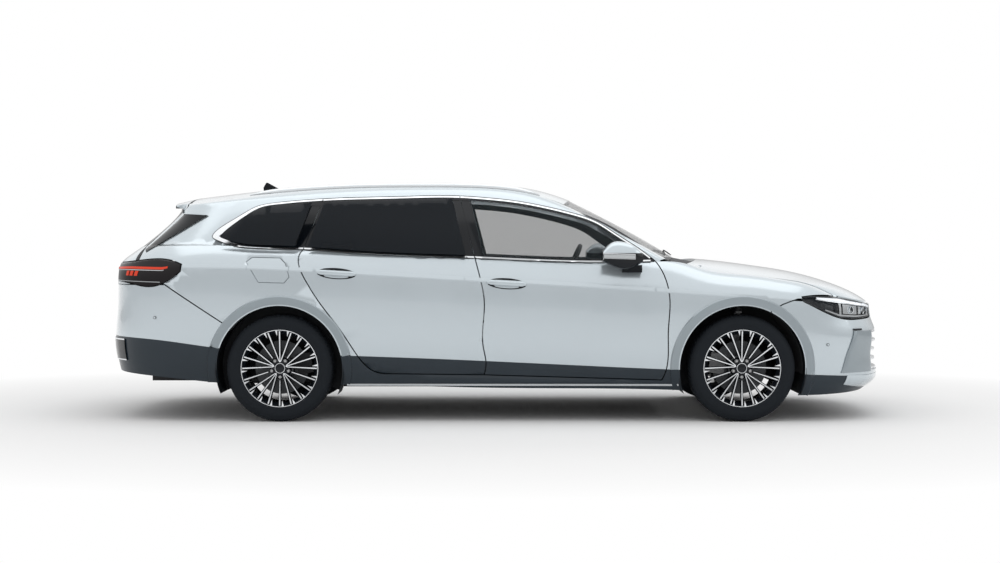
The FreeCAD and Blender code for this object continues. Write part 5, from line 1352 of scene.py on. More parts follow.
    def tooth(self, build: Builder, spoke: float) -> None:
        """The bright tooth that hangs in from the ring beside a spoke."""
        radius = np.array([self.ring - 3, self.ring - 3, self.ring - 3, 199.0])
        turn = spoke + np.array([6.6, 5.0, 3.3, 4.3])
        outer = self.polar(radius, turn, np.array([105.5, 105.5, 105.5, 99.0]))
        inner = self.polar(radius, turn, np.array([84.0, 84.0, 84.0, 80.0]))
        self.plate(build, outer, inner)

    def plate(self, build: Builder, outer: Array, inner: Array) -> None:
        """A flat closed bright plate between two like outlines.

        Args:
            build: what it is added to.
            outer: the points of its face.
            inner: the points of its back.
        """
        count = len(outer)
        ring = list(range(count))
        walls = [[i, (i + 1) % count, count + (i + 1) % count, count + i] for i in ring]
        faces = [ring, [count + i for i in reversed(ring)]] + walls
        build.add(np.concatenate([outer, inner]), faces, Finishes.wheel_bright)

    def bolt(self, build: Builder, turn: float) -> None:
        """A wheel bolt's six sided head in its round well."""
        centre = self.polar(np.array(self.bolt_ring), np.array(turn), np.array(0.0))
        for radius, low, high, count, finish in ((8.5, 70, 83.4, 6, Finishes.steel),
                                                 (12, 60, 79.6, 24, Finishes.cast)):
            profile = [(0.5, low), (radius, low), (radius, high - 1), (radius - 1, high), (0.5, high)]
            points, faces = revolved(np.array(profile), count)
            build.add(points + centre, faces, finish)


@dataclass(frozen=True)
class SideTrim:
    """Window strips and bands, handles, arch lips, sill edges, blades and shoulder lines of both sides."""

    strip: float = 9.0
    proud: float = 5.0
    gap: float = 2.5
    split_top: float = -234.5
    split_base: float = -140.5
    rear_top: float = -1089.5
    rear_base: float = -1191.5
    front_x: float = fwd(-560)
    flare_inner: float = 393.5
    flare_outer: float = 446.0
    flare_rise: float = 7.5
    handle_reach: float = 122.0
    handle_slope: float = -0.06
    recess_half: float = 34.0
    scoop_half: float = 12.0
    bow: float = 17.0

    def make(self) -> None:
        """Makes the trim of both sides."""
        for name, side in SIDES:
            self.strips(name, side)
            self.handle(f"front_door_{name}", side, (56.5, 852.0))
            self.handle(f"rear_door_{name}", side, (-985.5, 914.0))
        self.flares()
        self.creases()
        self.sills()
        self.pillar_blades()

    def strips(self, name: str, side: int) -> None:
        """The window strips, in one piece for each door and one for the quarter.

        Args:
            name: the side's name.
            side: 1 for left or -1 for right.
        """
        gap = self.gap
        split = (self.split_base, self.split_top)
        rear = (self.rear_base, self.rear_top)
        spans = {f"front_door_{name}": ((self.split_top + gap, self.front_x),
                                        (self.split_base + gap, self.front_x)),
                 f"rear_door_{name}": ((self.rear_top + gap, self.split_top - gap),
                                       (self.rear_base + gap, self.split_base - gap))}
        for body, (top, base) in spans.items():
            build = Builder(f"window_trim_{body}", body, side)
            for span, line, way in ((top, LINES.window_top, -1.0), (base, LINES.window_base, 1.0)):
                x = np.linspace(*span, 60)
                path = np.stack([x, line(x)], -1)
                build.grid(*band(path, way, way * (1.0 + self.strip), self.proud, 7), Finishes.bright)
                build.grid(*band(path, -way * 4.0, way * 0.9, self.proud - 1.4, 6), Finishes.gloss_black)
                build.grid(*band(path, way * 9.9, way * 27.0, self.proud - 1.8, 6), Finishes.gloss_black)
            if body.startswith("rear_door"):
                self.upright(build, (-965.0, -986.0), 0.0, 10.5, -1.0, Finishes.black_plastic)
                self.upright(build, rear, gap + 17, 16.5)
                self.upright(build, split, -gap - 24, 23.5)
            else:
                self.upright(build, split, gap + 30, 29.5)
            build.make()
        build = Builder(f"window_trim_quarter_{name}", "car_body", side)
        self.upright(build, rear, -gap - 26, 25.5)
        self.quarter(build)
        build.make()

    def upright(self, build: Builder, x: tuple[float, float], aside: float, half: float, proud: float = 1.0,
                finish: Finish = Finishes.gloss_black) -> None:
        """A band that stands between the belt and the top of the windows.

        Args:
            build: what it is added to.
            x: the stations of its foot and its head.
            aside: how far it lies in front of them.
            half: its half width.
            proud: how far it stands off the skin.
            finish: its finish.
        """
        share = np.linspace(0.0, 1.0, 14)
        place = mix(x[0] + aside, x[1] + aside, share)
        low, high = LINES.window_base(place) + 6, LINES.window_top(place) - 6
        path = np.stack([place, mix(low, high, share)], -1)
        build.grid(*band(path, -half, half, proud, 9), finish)

    def quarter(self, build: Builder) -> None:
        """The quarter window's bright surround, widening into its rear corner, and the black inside it."""
        front_top, front_base = self.rear_top - 3, self.rear_base - 3
        outer = [(front_top, LINES.window_top(front_top)), (aft(140), LINES.window_top(aft(140))),
                 (aft(62), 1360),
                 (aft(-82), 1344), (aft(-178), 1317), (aft(-274), 1259), (aft(-370), 1197), (aft(-412), 1158),
                 (aft(-420), 1138), (aft(-400), 1122), (aft(-330), 1095), (aft(-226), 1074), (aft(-56), 1065),
                 (aft(70), 1062), (front_base, 1061)]
        inner = [(front_top, 1330), (aft(140), 1332), (aft(62), 1328), (aft(-62), 1318), (aft(-156), 1290),
                 (aft(-236), 1232), (aft(-322), 1168), (aft(-352), 1144), (aft(-356), 1138),
                 (aft(-348), 1130),
                 (aft(-306), 1121), (aft(-222), 1102), (aft(-56), 1090), (aft(70), 1084), (front_base, 1082)]
        wide = [9, 9, 9, 10, 13, 20, 34, 46, 50, 40, 20, 12, 9, 9, 9]
        at = np.arange(len(outer))
        step = np.linspace(0, len(outer) - 1, 150)
        outside, inside = (np.stack([Spline(*zip(at, np.array(line, float)[:, i]))(step) for i in (0, 1)], -1)
                           for line in (outer, inner))
        reach = np.linalg.norm(inside - outside, axis=1)
        share = np.clip(np.interp(step, at, wide) / reach, 0, 0.94)[:, None]
        middle = mix(outside, inside, share)
        line = outside - (inside - outside) / reach[:, None] * 4
        for first, last, proud, finish in ((outside, middle, self.proud, Finishes.bright),
                                           (line, outside, self.proud - 1.4, Finishes.gloss_black),
                                           (middle, inside, self.proud - 1.8, Finishes.gloss_black)):
            place = mix(first[None], last[None], np.linspace(0, 1, 4)[:, None, None])
            build.grid(*flank_slab(place[..., 0], place[..., 1], proud, proud - 7), finish)

    def sills(self) -> None:
        """The bright edge along the foot of each sill."""
        build = Builder("sill_edges", "car_body")
        x = np.linspace(-925.0, 1112.0, 80)
        path = np.stack([x, 226 + 0 * x], -1)
        build.grid(*band(path, -6.0, 6.0, 3.5, 6), Finishes.rail)
        build.mirrored().make(smooth=40)

    def pillar_blades(self) -> None:
        """The black blade beside the tailgate's glass, from the spoiler down to a point."""
        build = Builder("pillar_blades", "car_body")
        along = np.linspace(0, 1, 40)[None]
        across = np.linspace(0, 1, 9)[:, None]
        x = mix(mix(-1968.0, -2194.0, along), mix(-1800.0, -2186.0, along), across)
        z = mix(mix(1282.0, 1062.0, along), mix(1272.0, 1046.0, along), across)
        build.grid(*flank_slab(x, z, 3.0, -2.0), Finishes.gloss_black)
        build.mirrored().make(smooth=40)

    def creases(self) -> None:
        """The sharp shoulder line, a low ridge along each panel."""
        low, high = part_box("fuel_flap")
        tail, quarter_end, fade_length = aft(-588), self.rear_top - 40, 260
        rows = np.array([-9.0, -7.0, 0.0, 16.0, 18.0])[:, None]
        ridge = np.array([-0.5, 0.3, 2.3, 0.3, -0.5])[:, None]
        for name, side in SIDES:
            spans = {"car_body_rear": (tail, quarter_end), f"rear_door_{name}": (-1112.0, -205.0),
                     f"front_door_{name}": (-198.0, 962.0), "car_body_front": (974.0, fwd(150))}
            if name == "right":
                spans["car_body_rear"] = (tail, low[0] / MM - 3)
                spans["fuel_flap"] = (low[0] / MM + 4, high[0] / MM - 4)
                spans["car_body_quarter"] = (high[0] / MM + 3, quarter_end)
            for key, span in spans.items():
                body = "car_body" if key.startswith("car_body") else key
                build = Builder(f"shoulder_line_{key}" + ("" if body == key else f"_{name}"), body, side)
                x = np.linspace(*span, 60)
                front = key == "car_body_front"
                fade = np.clip((x[-1] - x) / fade_length, 0, 1) if front else np.ones_like(x)
                height = LINES.shoulder_z(x)[None] + rows
                build.grid(*flank_slab(x[None], height, ridge * fade, -2.0), Finishes.paint)
                build.make(smooth=8)

    def handle(self, body: str, side: int, at: tuple[float, float]) -> None:
        """A bow handle over a gloss black sheet that is painted shadow in its recess, with its scoop in body
        paint.

        Args:
            body: the door that carries it.
            side: 1 for left or -1 for right.
            at: station and height of its middle.
        """
        build = Builder(f"handle_{body}", body, side)
        share = np.linspace(-1, 1, 33)
        reach, slope = self.handle_reach, self.handle_slope
        swell = np.sqrt(np.maximum(1 - share**2, 0.0009))
        rows = np.linspace(-1, 1, 9)[:, None]
        x = at[0] + share * reach
        z = at[1] + share * reach * slope
        place = z[None] - 3 + rows * swell[None] * self.recess_half
        # Painted shadow: the gloss black sheet stands for the shade in the handle's recess.
        build.grid(*flank_slab(x[None], place, 0.7, 0.7 - 3), Finishes.gloss_black)
        inner = share * 0.62
        place = at[1] - 19 + inner[None] * reach * slope + rows * swell[None] * self.scoop_half
        build.grid(*flank_slab(at[0] + inner[None] * reach, place, 1.3, -1.5), Finishes.paint)
        reach -= 3
        path = side_point(at[0] + share * reach, at[1] - 1 + share * reach * slope)
        path[:, 1] += 3 + self.bow * (1 - np.abs(share) ** 3.2)
        full = np.clip((1 - np.abs(share)) * 5, 0, 1)
        size = np.stack([mix(0.5, 1.0, full) * 14.0, mix(0.7, 1.0, full) * 5.5], -1)
        build.add(*sweep(path, np.array([0.0, 1.0, 0.0]), rounded(2.0, 2.0, 2.6, 20), scale=size),
                  Finishes.paint)
        build.make(smooth=50)

    def flares(self) -> None:
        """The rolled lips round the four arches, proudest near their outer edge, in darker silver as painted
        shade above the crease and dark grey painted shade below it.
        """
        build = Builder("arch_lips", "car_body")
        reach = (self.flare_inner + self.flare_outer) / 2
        for axle in (FRONT_AXLE, REAR_AXLE):
            marks = []
            for way in (1, -1):
                x = axle + way * reach
                marks.append([math.degrees(math.asin((float(line(x)) + lift - AXLE_HEIGHT) / reach))
                              for line, lift in ((LINES.sill_z, 6), (LINES.crease_z, 0))])
            (low_front, crease_front), (low_rear, crease_rear) = marks
            # Painted shade: dark grey below the crease, and the darker silver copy of the paint above it.
            for first, last, finish in ((low_front, crease_front, Finishes.painted_shade_below_crease),
                                        (crease_front, 180 - crease_rear, Finishes.paint_in_painted_shade),
                                        (180 - crease_rear, 180 - low_rear, Finishes.painted_shade_below_crease)):
                turn = np.radians(np.linspace(first, last, max(6, int((last - first) / 2.2))))[None]
                radius = np.linspace(self.flare_inner, self.flare_outer, 9)[:, None]
                share = (radius - self.flare_inner) / (self.flare_outer - self.flare_inner)
                proud = 0.6 + self.flare_rise * share**0.9 * np.clip((1 - share) / 0.13, 0, 1) ** 0.6
                x, z = axle + radius * np.cos(turn), AXLE_HEIGHT + radius * np.sin(turn)
                build.grid(*flank_slab(x, z, proud, -2.0), finish)
        build.mirrored().make(smooth=40)


@dataclass(frozen=True)
class Lamps:
    """Headlamps behind clear lenses and tail lamps with their light bars."""

    segments: int = 3

    def make(self) -> None:
        """Makes all lamps."""
        self.headlamps()
        self.tail("tail_lamps", "car_body", wrap_angle(aft(-606), 958), 0.612)
        self.tail("tailgate_lamps", "tailgate", 0.590, 0.302)

    def edges(self, tops: Sequence, bases: Sequence, nose: bool) -> tuple[Callable, Callable]:
        """The lamp's top and bottom heights by turn, from (station or distance aside, height) points.

        Args:
            tops: (place, height, whether the place is a distance aside) along the top.
            bases: the same along the foot.
            nose: whether the lamp lies on the nose.

        Returns:
            The top's and the foot's height, each a function of the wrap angle.
        """
        lines = []
        for points in (tops, bases):
            knots = []
            for place, z, aside in points:
                knots.append((wrap_turn(place, nose) if aside else wrap_angle(place, z), z))
            knots.sort()
            at, value = np.array(knots).T
            lines.append(lambda turn, at=at, value=value: np.interp(turn, at, value))
        return lines[0], lines[1]

    def headlamps(self) -> None:
        """Dark bowls with a white guide on top, silver bezels and two projectors under a clear lens."""
        top, base = self.edges(
            [(fwd(366), 764, False), (fwd(426), 772, False), (fwd(590), 767, False), (fwd(736), 740, False),
             (560, 716, True), (470, 706, True)],
            [(fwd(366), 745, False), (fwd(500), 680, False), (fwd(616), 634, False), (fwd(736), 628, False),
             (560, 636, True), (470, 644, True)], True)
        start, end = wrap_angle(fwd(374), 758), wrap_turn(486, True)
        turns = np.linspace(start, end, 60)
        share = np.linspace(0, 1, 60)
        low, high = base(turns), top(turns)

        def patch(first: float, last: float, foot: float, head: float, depth: float, thick: float,
                  finish: Finish, rows: int = 4) -> None:
            """Adds a patch by shares along and up the lamp."""
            at = np.interp(np.linspace(first, last, 48), share, turns)
            floor, roof = base(at), top(at)
            edges = mix(floor, roof, foot), mix(floor, roof, head)
            shell.grid(*wrap_patch(at, *edges, depth, thick, True, rows), finish)

        shell = Builder("headlamp_bowls", "car_body")
        dark, silver = Finishes.lamp_dark, Finishes.lamp_silver
        patch(0, 1, 0.0, 1.0, 44, 14, dark)
        patch(0, 1, 0.0, 0.07, 5, 48, dark, 2)
        patch(0, 1, 0.92, 1.0, 5, 48, dark, 2)
        patch(0.965, 1, 0.0, 1.0, 5, 48, dark, 2)
        patch(0.14, 0.99, 0.76, 0.91, 6, 10, Finishes.lamp_white, 3)
        patch(0.12, 0.99, 0.71, 0.745, 5, 12, silver, 3)
        patch(0.20, 0.95, 0.09, 0.17, 8, 10, silver, 3)
        patch(0.90, 0.925, 0.17, 0.70, 10, 12, silver, 3)
        patch(0.36, 0.385, 0.17, 0.70, 14, 10, silver, 3)
        for first, last in ((0.42, 0.64), (0.67, 0.88)):
            patch(first, last, 0.22, 0.68, 26, 8, silver)
            self.projector(shell, np.interp((first + last) / 2, share, turns), base, top)
        shell.mirrored().make(["headlamps"], 35)
        lens = Builder("headlamp_lenses", "car_body")
        lens.grid(*wrap_patch(turns, low, high, 2.0, 2.0, True, 8), Finishes.lamp_lens)
        lens.mirrored().make(smooth=40)

    def projector(self, build: Builder, turn: float, base: Callable, top: Callable) -> None:
        """A domed lens in a ring, looking out of the bowl.

        Args:
            build: what it is added to.
            turn: its wrap angle.
            base: the lamp's foot by wrap angle.
            top: the lamp's top by wrap angle.
        """
        z = mix(float(base(turn)), float(top(turn)), 0.45)
        turns = np.array([turn, turn])
        place = wrap_point(turns, np.array([z, z]), True, np.array([26.0, 12.0]))
        ahead = place[1] - place[0]
        ahead /= np.linalg.norm(ahead)
        aside = np.cross((0, 0, 1), ahead)
        up = np.cross(ahead, aside)
        for profile, finish in (([(0.5, 0), (17, 0), (17, 6), (13, 11), (7, 14), (0.5, 15)],
                                 Finishes.clear_glass),
                                ([(17, 0), (22, 0), (22, 9), (20, 10.5), (17.5, 8)], Finishes.lamp_silver)):
            points, faces = revolved(np.array(profile, float), 32)
            turned = points[:, :1] * aside + points[:, 2:] * up + points[:, 1:2] * ahead + place[0]
            build.add(turned, faces, finish)

    def tail(self, node: str, body: str, start: float, end: float) -> None:
        """A tail lamp's long bar, silver lines and slanted segments, set in its dark lens.

        Args:
            node: the CAD node that it lies on.
            body: the body that it rides on.
            start: the wrap angle of its outer end.
            end: the wrap angle of its inner end.
        """
        top, base = self.edges(
            [(aft(-600), 965, False), (aft(-634), 980, False), (aft(-912), 985, False), (500, 975, True),
             (100, 970, True)],
            [(aft(-600), 930, False), (aft(-724), 846, False), (aft(-932), 852, False), (500, 862, True),
             (100, 865, True)], False)
        build = Builder(f"lit_{node}", body)

        def patch(first: float, last: float, foot: float, head: float, proud: float, thick: float,
                  finish: Finish, slant: float = 0.0) -> None:
            """Adds a patch by shares along and up the lamp, its top slid along by the slant."""
            part = np.linspace(first, last, 56)[None]
            rise = np.linspace(foot, head, 5)[:, None]
            at = mix(start, end, part + slant * (rise - foot)) + 0 * rise
            z = mix(base(at), top(at), rise)
            build.grid(wrap_point(at, z, False, proud), wrap_point(at, z, False, proud + thick), finish)

        patch(0.14, 0.99, 0.66, 0.77, 0.6, 8, Finishes.tail_red)
        patch(0.18, 0.99, 0.60, 0.63, 1.0, 8, Finishes.lamp_silver)
        patch(0.22, 0.99, 0.07, 0.10, 1.0, 8, Finishes.lamp_silver)
        for number in range(self.segments):
            first = 0.52 + number * 0.075
            patch(first, first + 0.045, 0.34, 0.57, 0.9, 8, Finishes.tail_red, -0.08)
        build.mirrored().make(smooth=35)


@dataclass(frozen=True)
class Mirrors:
    """Door mirrors: silver cap, bright-edged lamp strip, black bowl and glass."""

    centre_y: float = 970.0
    half: float = 66.0

    def make(self) -> None:
        """Makes both mirrors."""
        for name, side in SIDES:
            Panel(f"mirror_{name}", f"mirror_housing_{name}", [], [Finishes.paint, Finishes.gloss_black],
                  self.finish, 60, cuts=((1036.0, 2),)).make()
            build = Builder(f"mirror_trim_{name}", f"front_door_{name}", side)
            self.strip(build, 1031.0, 1036.5, 1.2, Finishes.bright)
            self.strip(build, 1008.0, 1029.0, 0.8, Finishes.lamp_silver)
            self.strip(build, 1004.0, 1006.5, 1.2, Finishes.bright)
            self.glass(build)
            build.make(smooth=40)

    def finish(self, centre: Array, facing: Array) -> Array:
        """Paint over the strip and black below it."""
        return np.where(centre[:, 2] > 1036.0, 0, 1)

    def strip(self, build: Builder, low: float, high: float, proud: float, finish: Finish) -> None:
        """A strip along the housing's outer face.

        Args:
            build: what it is added to.
            low: its lower height.
            high: its upper height.
            proud: how far it stands off the housing.
            finish: its finish.
        """
        x = np.linspace(fwd(-860), fwd(-668), 24)
        share = np.linspace(0, 1, 3)[:, None]
        z = mix(low, high, share) - 0.03 * (x[None] - fwd(-860))
        y = self.centre_y + self.half + proud + 0 * z
        outer = np.stack([x[None] + 0 * z, y, z], -1)
        build.grid(outer, outer - (0, 5, 0), finish)

    def glass(self, build: Builder) -> None:
        """The rear-facing glass, a thin plate just inside the housing's rear face."""
        y = np.linspace(-1, 1, 9)[None]
        z = np.linspace(-1, 1, 7)[:, None]
        wide = self.half - 8
        place_y = self.centre_y + wide * y * np.sqrt(1 - 0.12 * z**2)
        place_z = 1018 + 27 * z * np.sqrt(1 - 0.25 * y**2)
        x = fwd(-862.8) + 0 * place_y
        outer = np.stack([x, place_y, place_z], -1)
        build.grid(outer, outer + (2, 0, 0), Finishes.mirror_glass)


Field = float | Callable[..., Array]


def field(value: Field) -> Callable[..., Array]:
    """The function itself, or one that gives a plain number everywhere."""
    return value if callable(value) else lambda *place: value + 0 * place[0]


@dataclass(frozen=True)
class Bumpers:
    """What the bumpers carry: corner blades, slots, lip, sensors, and the black insert at the tail."""

    grille_edge: float = 652.0
    blade_low: float = 296.0
    blade_high: float = 553.0
    slot_low: float = 556.0
    slot_high: float = 568.0
    lip_end: float = 2151.0
    insert_end: float = -2318.0
    insert_low: float = 372.0
    insert_high: float = 500.0
    trim_half: float = 4.0
    sensor_radius: float = 9.0

    def make(self) -> None:
        """Makes the front's and the rear's details."""
        self.front()
        self.rear()
        self.sensors()

    def sheet(self, build: Builder, turns: tuple[Field, Field], heights: tuple[Field, Field], rise: Field,
              finish: Finish, nose: bool) -> None:
        """A patch of the nose or tail between two turns and two heights.

        Args:
            build: what it is added to.
            turns: the wrap angles of its two ends, each a number or a function of height.
            heights: its two edges, each a number or a function of the wrap angle.
            rise: how far its face stands off the skin, a number or a function of the shares along and up.
            finish: its finish.
            nose: whether it lies on the nose.
        """
        first, last, low, high, rise = (field(value) for value in (*turns, *heights, rise))
        v = np.linspace(0, 1, 14)[:, None]
        u = np.linspace(0, 1, 22)[None]
        guess = mix(first(0.5 + 0 * v), last(0.5 + 0 * v), u)
        z = mix(low(guess), high(guess), v)
        turn = mix(first(z), last(z), u)
        z = mix(low(turn), high(turn), v)
        face = wrap_point(turn, z, nose, -rise(u + 0 * v, v + 0 * u))
        build.grid(face, wrap_point(turn, z, nose, 2.0), finish)

    def front(self) -> None:
        """Concave corner blades in darker silver as painted shade under their air slots, and the bright lip
        below the grille.
        """
        build = Builder("front_corner_blades", "car_body")
        at = np.array([292.0, 556.0])
        rear = np.array([wrap_angle(2119, 292), wrap_angle(2211, 556)])
        turns = (lambda z: np.interp(z, at, rear), wrap_turn(self.grille_edge, True))
        # The blades take the darker silver paint: painted shade in their hollow.
        self.sheet(build, turns, (self.blade_low, self.blade_high), self.hollow, Finishes.paint_in_painted_shade, True)
        turns = (wrap_angle(2208, 560), wrap_angle(2268, 566))
        self.sheet(build, turns, (self.slot_low, self.slot_high), 1.2, Finishes.gloss_black, True)
        build.mirrored().make(smooth=40)
        lip = Builder("front_lip", "car_body")
        end = wrap_angle(self.lip_end, 236)
        heights = (lambda t: 192 + 30 * (np.abs(t) / end) ** 6, lambda t: 288 - 14 * np.cos(t))
        self.sheet(lip, (end, -end), heights, self.swell, Finishes.paint, True)
        lip.make(smooth=50)

    def hollow(self, u: Array, v: Array) -> Array:
        """The corner blade's face: high at both ends and low between them, rising a little upwards."""
        return 0.6 + 9 * np.abs(2 * u - 1) ** 1.6 * np.clip(12 * np.minimum(u, 1 - u), 0, 1) + 3 * v

    def swell(self, u: Array, v: Array) -> Array:
        """The lip's face: half a sine wave from edge to edge, running out at both ends."""
        return 0.4 + 9 * np.sin(np.pi * v) * np.clip(14 * np.minimum(u, 1 - u), 0, 1)

    def rear(self) -> None:
        """The black insert low on the tail, between two bright trims."""
        build = Builder("rear_insert", "car_body")
        end = wrap_angle(self.insert_end, 440)
        low, high, half = self.insert_low, self.insert_high, self.trim_half
        for heights, rise, finish in (((low, high), 1.6, Finishes.gloss_black),
                                      ((low - half, low + half), 3.2, Finishes.bright),
                                      ((high - half, high + half), 3.2, Finishes.bright)):
            self.sheet(build, (end, -end), heights, rise, finish, False)
        build.make(smooth=40)

    def sensors(self) -> None:
        """Round parking sensors at the corners."""
        build = Builder("corner_sensors", "car_body")
        turn = np.linspace(0, 2 * math.pi, 24)[None]
        for x, z in ((2032.0, 473.0), (-2105.0, 640.0)):
            for radius, proud, finish in ((self.sensor_radius, 1.0, Finishes.gloss_black),
                                          (self.sensor_radius - 2.5, 1.8, Finishes.paint)):
                rings = np.array([0.02, 0.6, 1.0])[:, None] * radius
                build.grid(*flank_slab(x + rings * np.cos(turn), z + rings * np.sin(turn), proud,
                                       proud - 2.5), finish)
        build.mirrored().make()


@dataclass(frozen=True)
class Liners:
    """Black linings of the four wheel arches."""

    outer: float = 392.6
    inner: float = 390.4
    wall_thick: float = 1.5
    front_wall: float = 484.0
    rear_wall: float = 646.5
    edge: float = 900.0
    hole: float = 95.0
    span: tuple[float, float] = (-24.0, 203.0)

    def make(self) -> None:
        """A thin tunnel over each wheel with an inner wall round the axle."""
        build = Builder("arch_liners", "car_body")
        turn = np.radians(np.linspace(*self.span, 80))[None]
        radius = np.linspace(self.hole, self.inner, 6)[:, None]
        for axle, wall in ((FRONT_AXLE, self.front_wall), (REAR_AXLE, self.rear_wall)):
            across = np.linspace(wall, self.edge, 6)[:, None]
            tunnel = [self.round(axle, reach, turn, across) for reach in (self.outer, self.inner)]
            build.grid(*tunnel, Finishes.black_plastic)
            shield = [self.round(axle, radius, turn, y) for y in (wall, wall + self.wall_thick)]
            build.grid(*shield, Finishes.black_plastic)
        build.mirrored().make(smooth=40)

    def round(self, axle: float, radius: Array, turn: Array, y: Array) -> Array:
        """Points round an axle by radius, angle and distance aside.

        Args:
            axle: the axle's station.
            radius: distances from the axle.
            turn: angles about it.
            y: distances from the middle plane.

        Returns:
            Points in millimetres.
        """
        x, z = axle + radius * np.cos(turn), AXLE_HEIGHT + radius * np.sin(turn)
        flat = 0 * (x + y)
        return np.stack([x + flat, y + flat, z + flat], -1)


@dataclass(frozen=True)
class Wipers:
    """Wipers at the foot of the windscreen and of the rear glass."""

    blade_wide: float = 7.0
    taper: float = 0.4
    rear_height: float = 1098.0

    def make(self) -> None:
        """Arms and blades of both."""
        build = Builder("front_wipers", "car_body")
        for start, end, pivot in ((0.10, 0.47, 0.30), (0.52, 0.90, 0.62)):
            s = np.linspace(start, end, 20)
            blade = screen_point(s, 0.055 + 0.03 * np.sin((s - start) / (end - start) * math.pi)) + (2, 0, 5)
            self.bar(build, blade, self.blade_wide, 12.0)
            foot = screen_point(np.array([pivot]), np.array([0.012]))[0] + (3, 0, 6)
            self.arm(build, foot, blade[10] + (1, 0, 5), 16.0, 8.0)
        build.make(smooth=40)
        rear = Builder("rear_wiper", "tailgate")
        turn = np.linspace(0.02, 0.42, 20)
        blade = wrap_point(turn, self.rear_height + 0 * turn, False, -10.0)
        self.bar(rear, blade, self.blade_wide, 11.0)
        foot = wrap_point(np.array([0.0]), np.array([1080.0]), False, -9.0)[0]
        self.arm(rear, foot, blade[10] + (-6, 0, 4), 15.0, 9.0)
        rear.make(smooth=40)

    def arm(self, build: Builder, foot: Array, head: Array, wide: float, high: float) -> None:
        """A straight bar from the pivot to the blade's middle."""
        self.bar(build, mix(foot[None], head[None], np.linspace(0, 1, 8)[:, None]), wide, high)

    def bar(self, build: Builder, path: Array, wide: float, high: float) -> None:
        """A rounded bar along a path, thinner to its ends.

        Args:
            build: what it is added to.
            path: the points of its middle line.
            wide: its width.
            high: its height.
        """
        share = np.linspace(-1, 1, len(path))
        size = np.stack([wide * (1 - self.taper * share**2), high * (1 - self.taper * share**2)], -1)
        build.add(*sweep(path, np.array([0.0, 0.0, 1.0]), rounded(1.0, 1.0, 3.0, 10), scale=size),
                  Finishes.black_plastic)


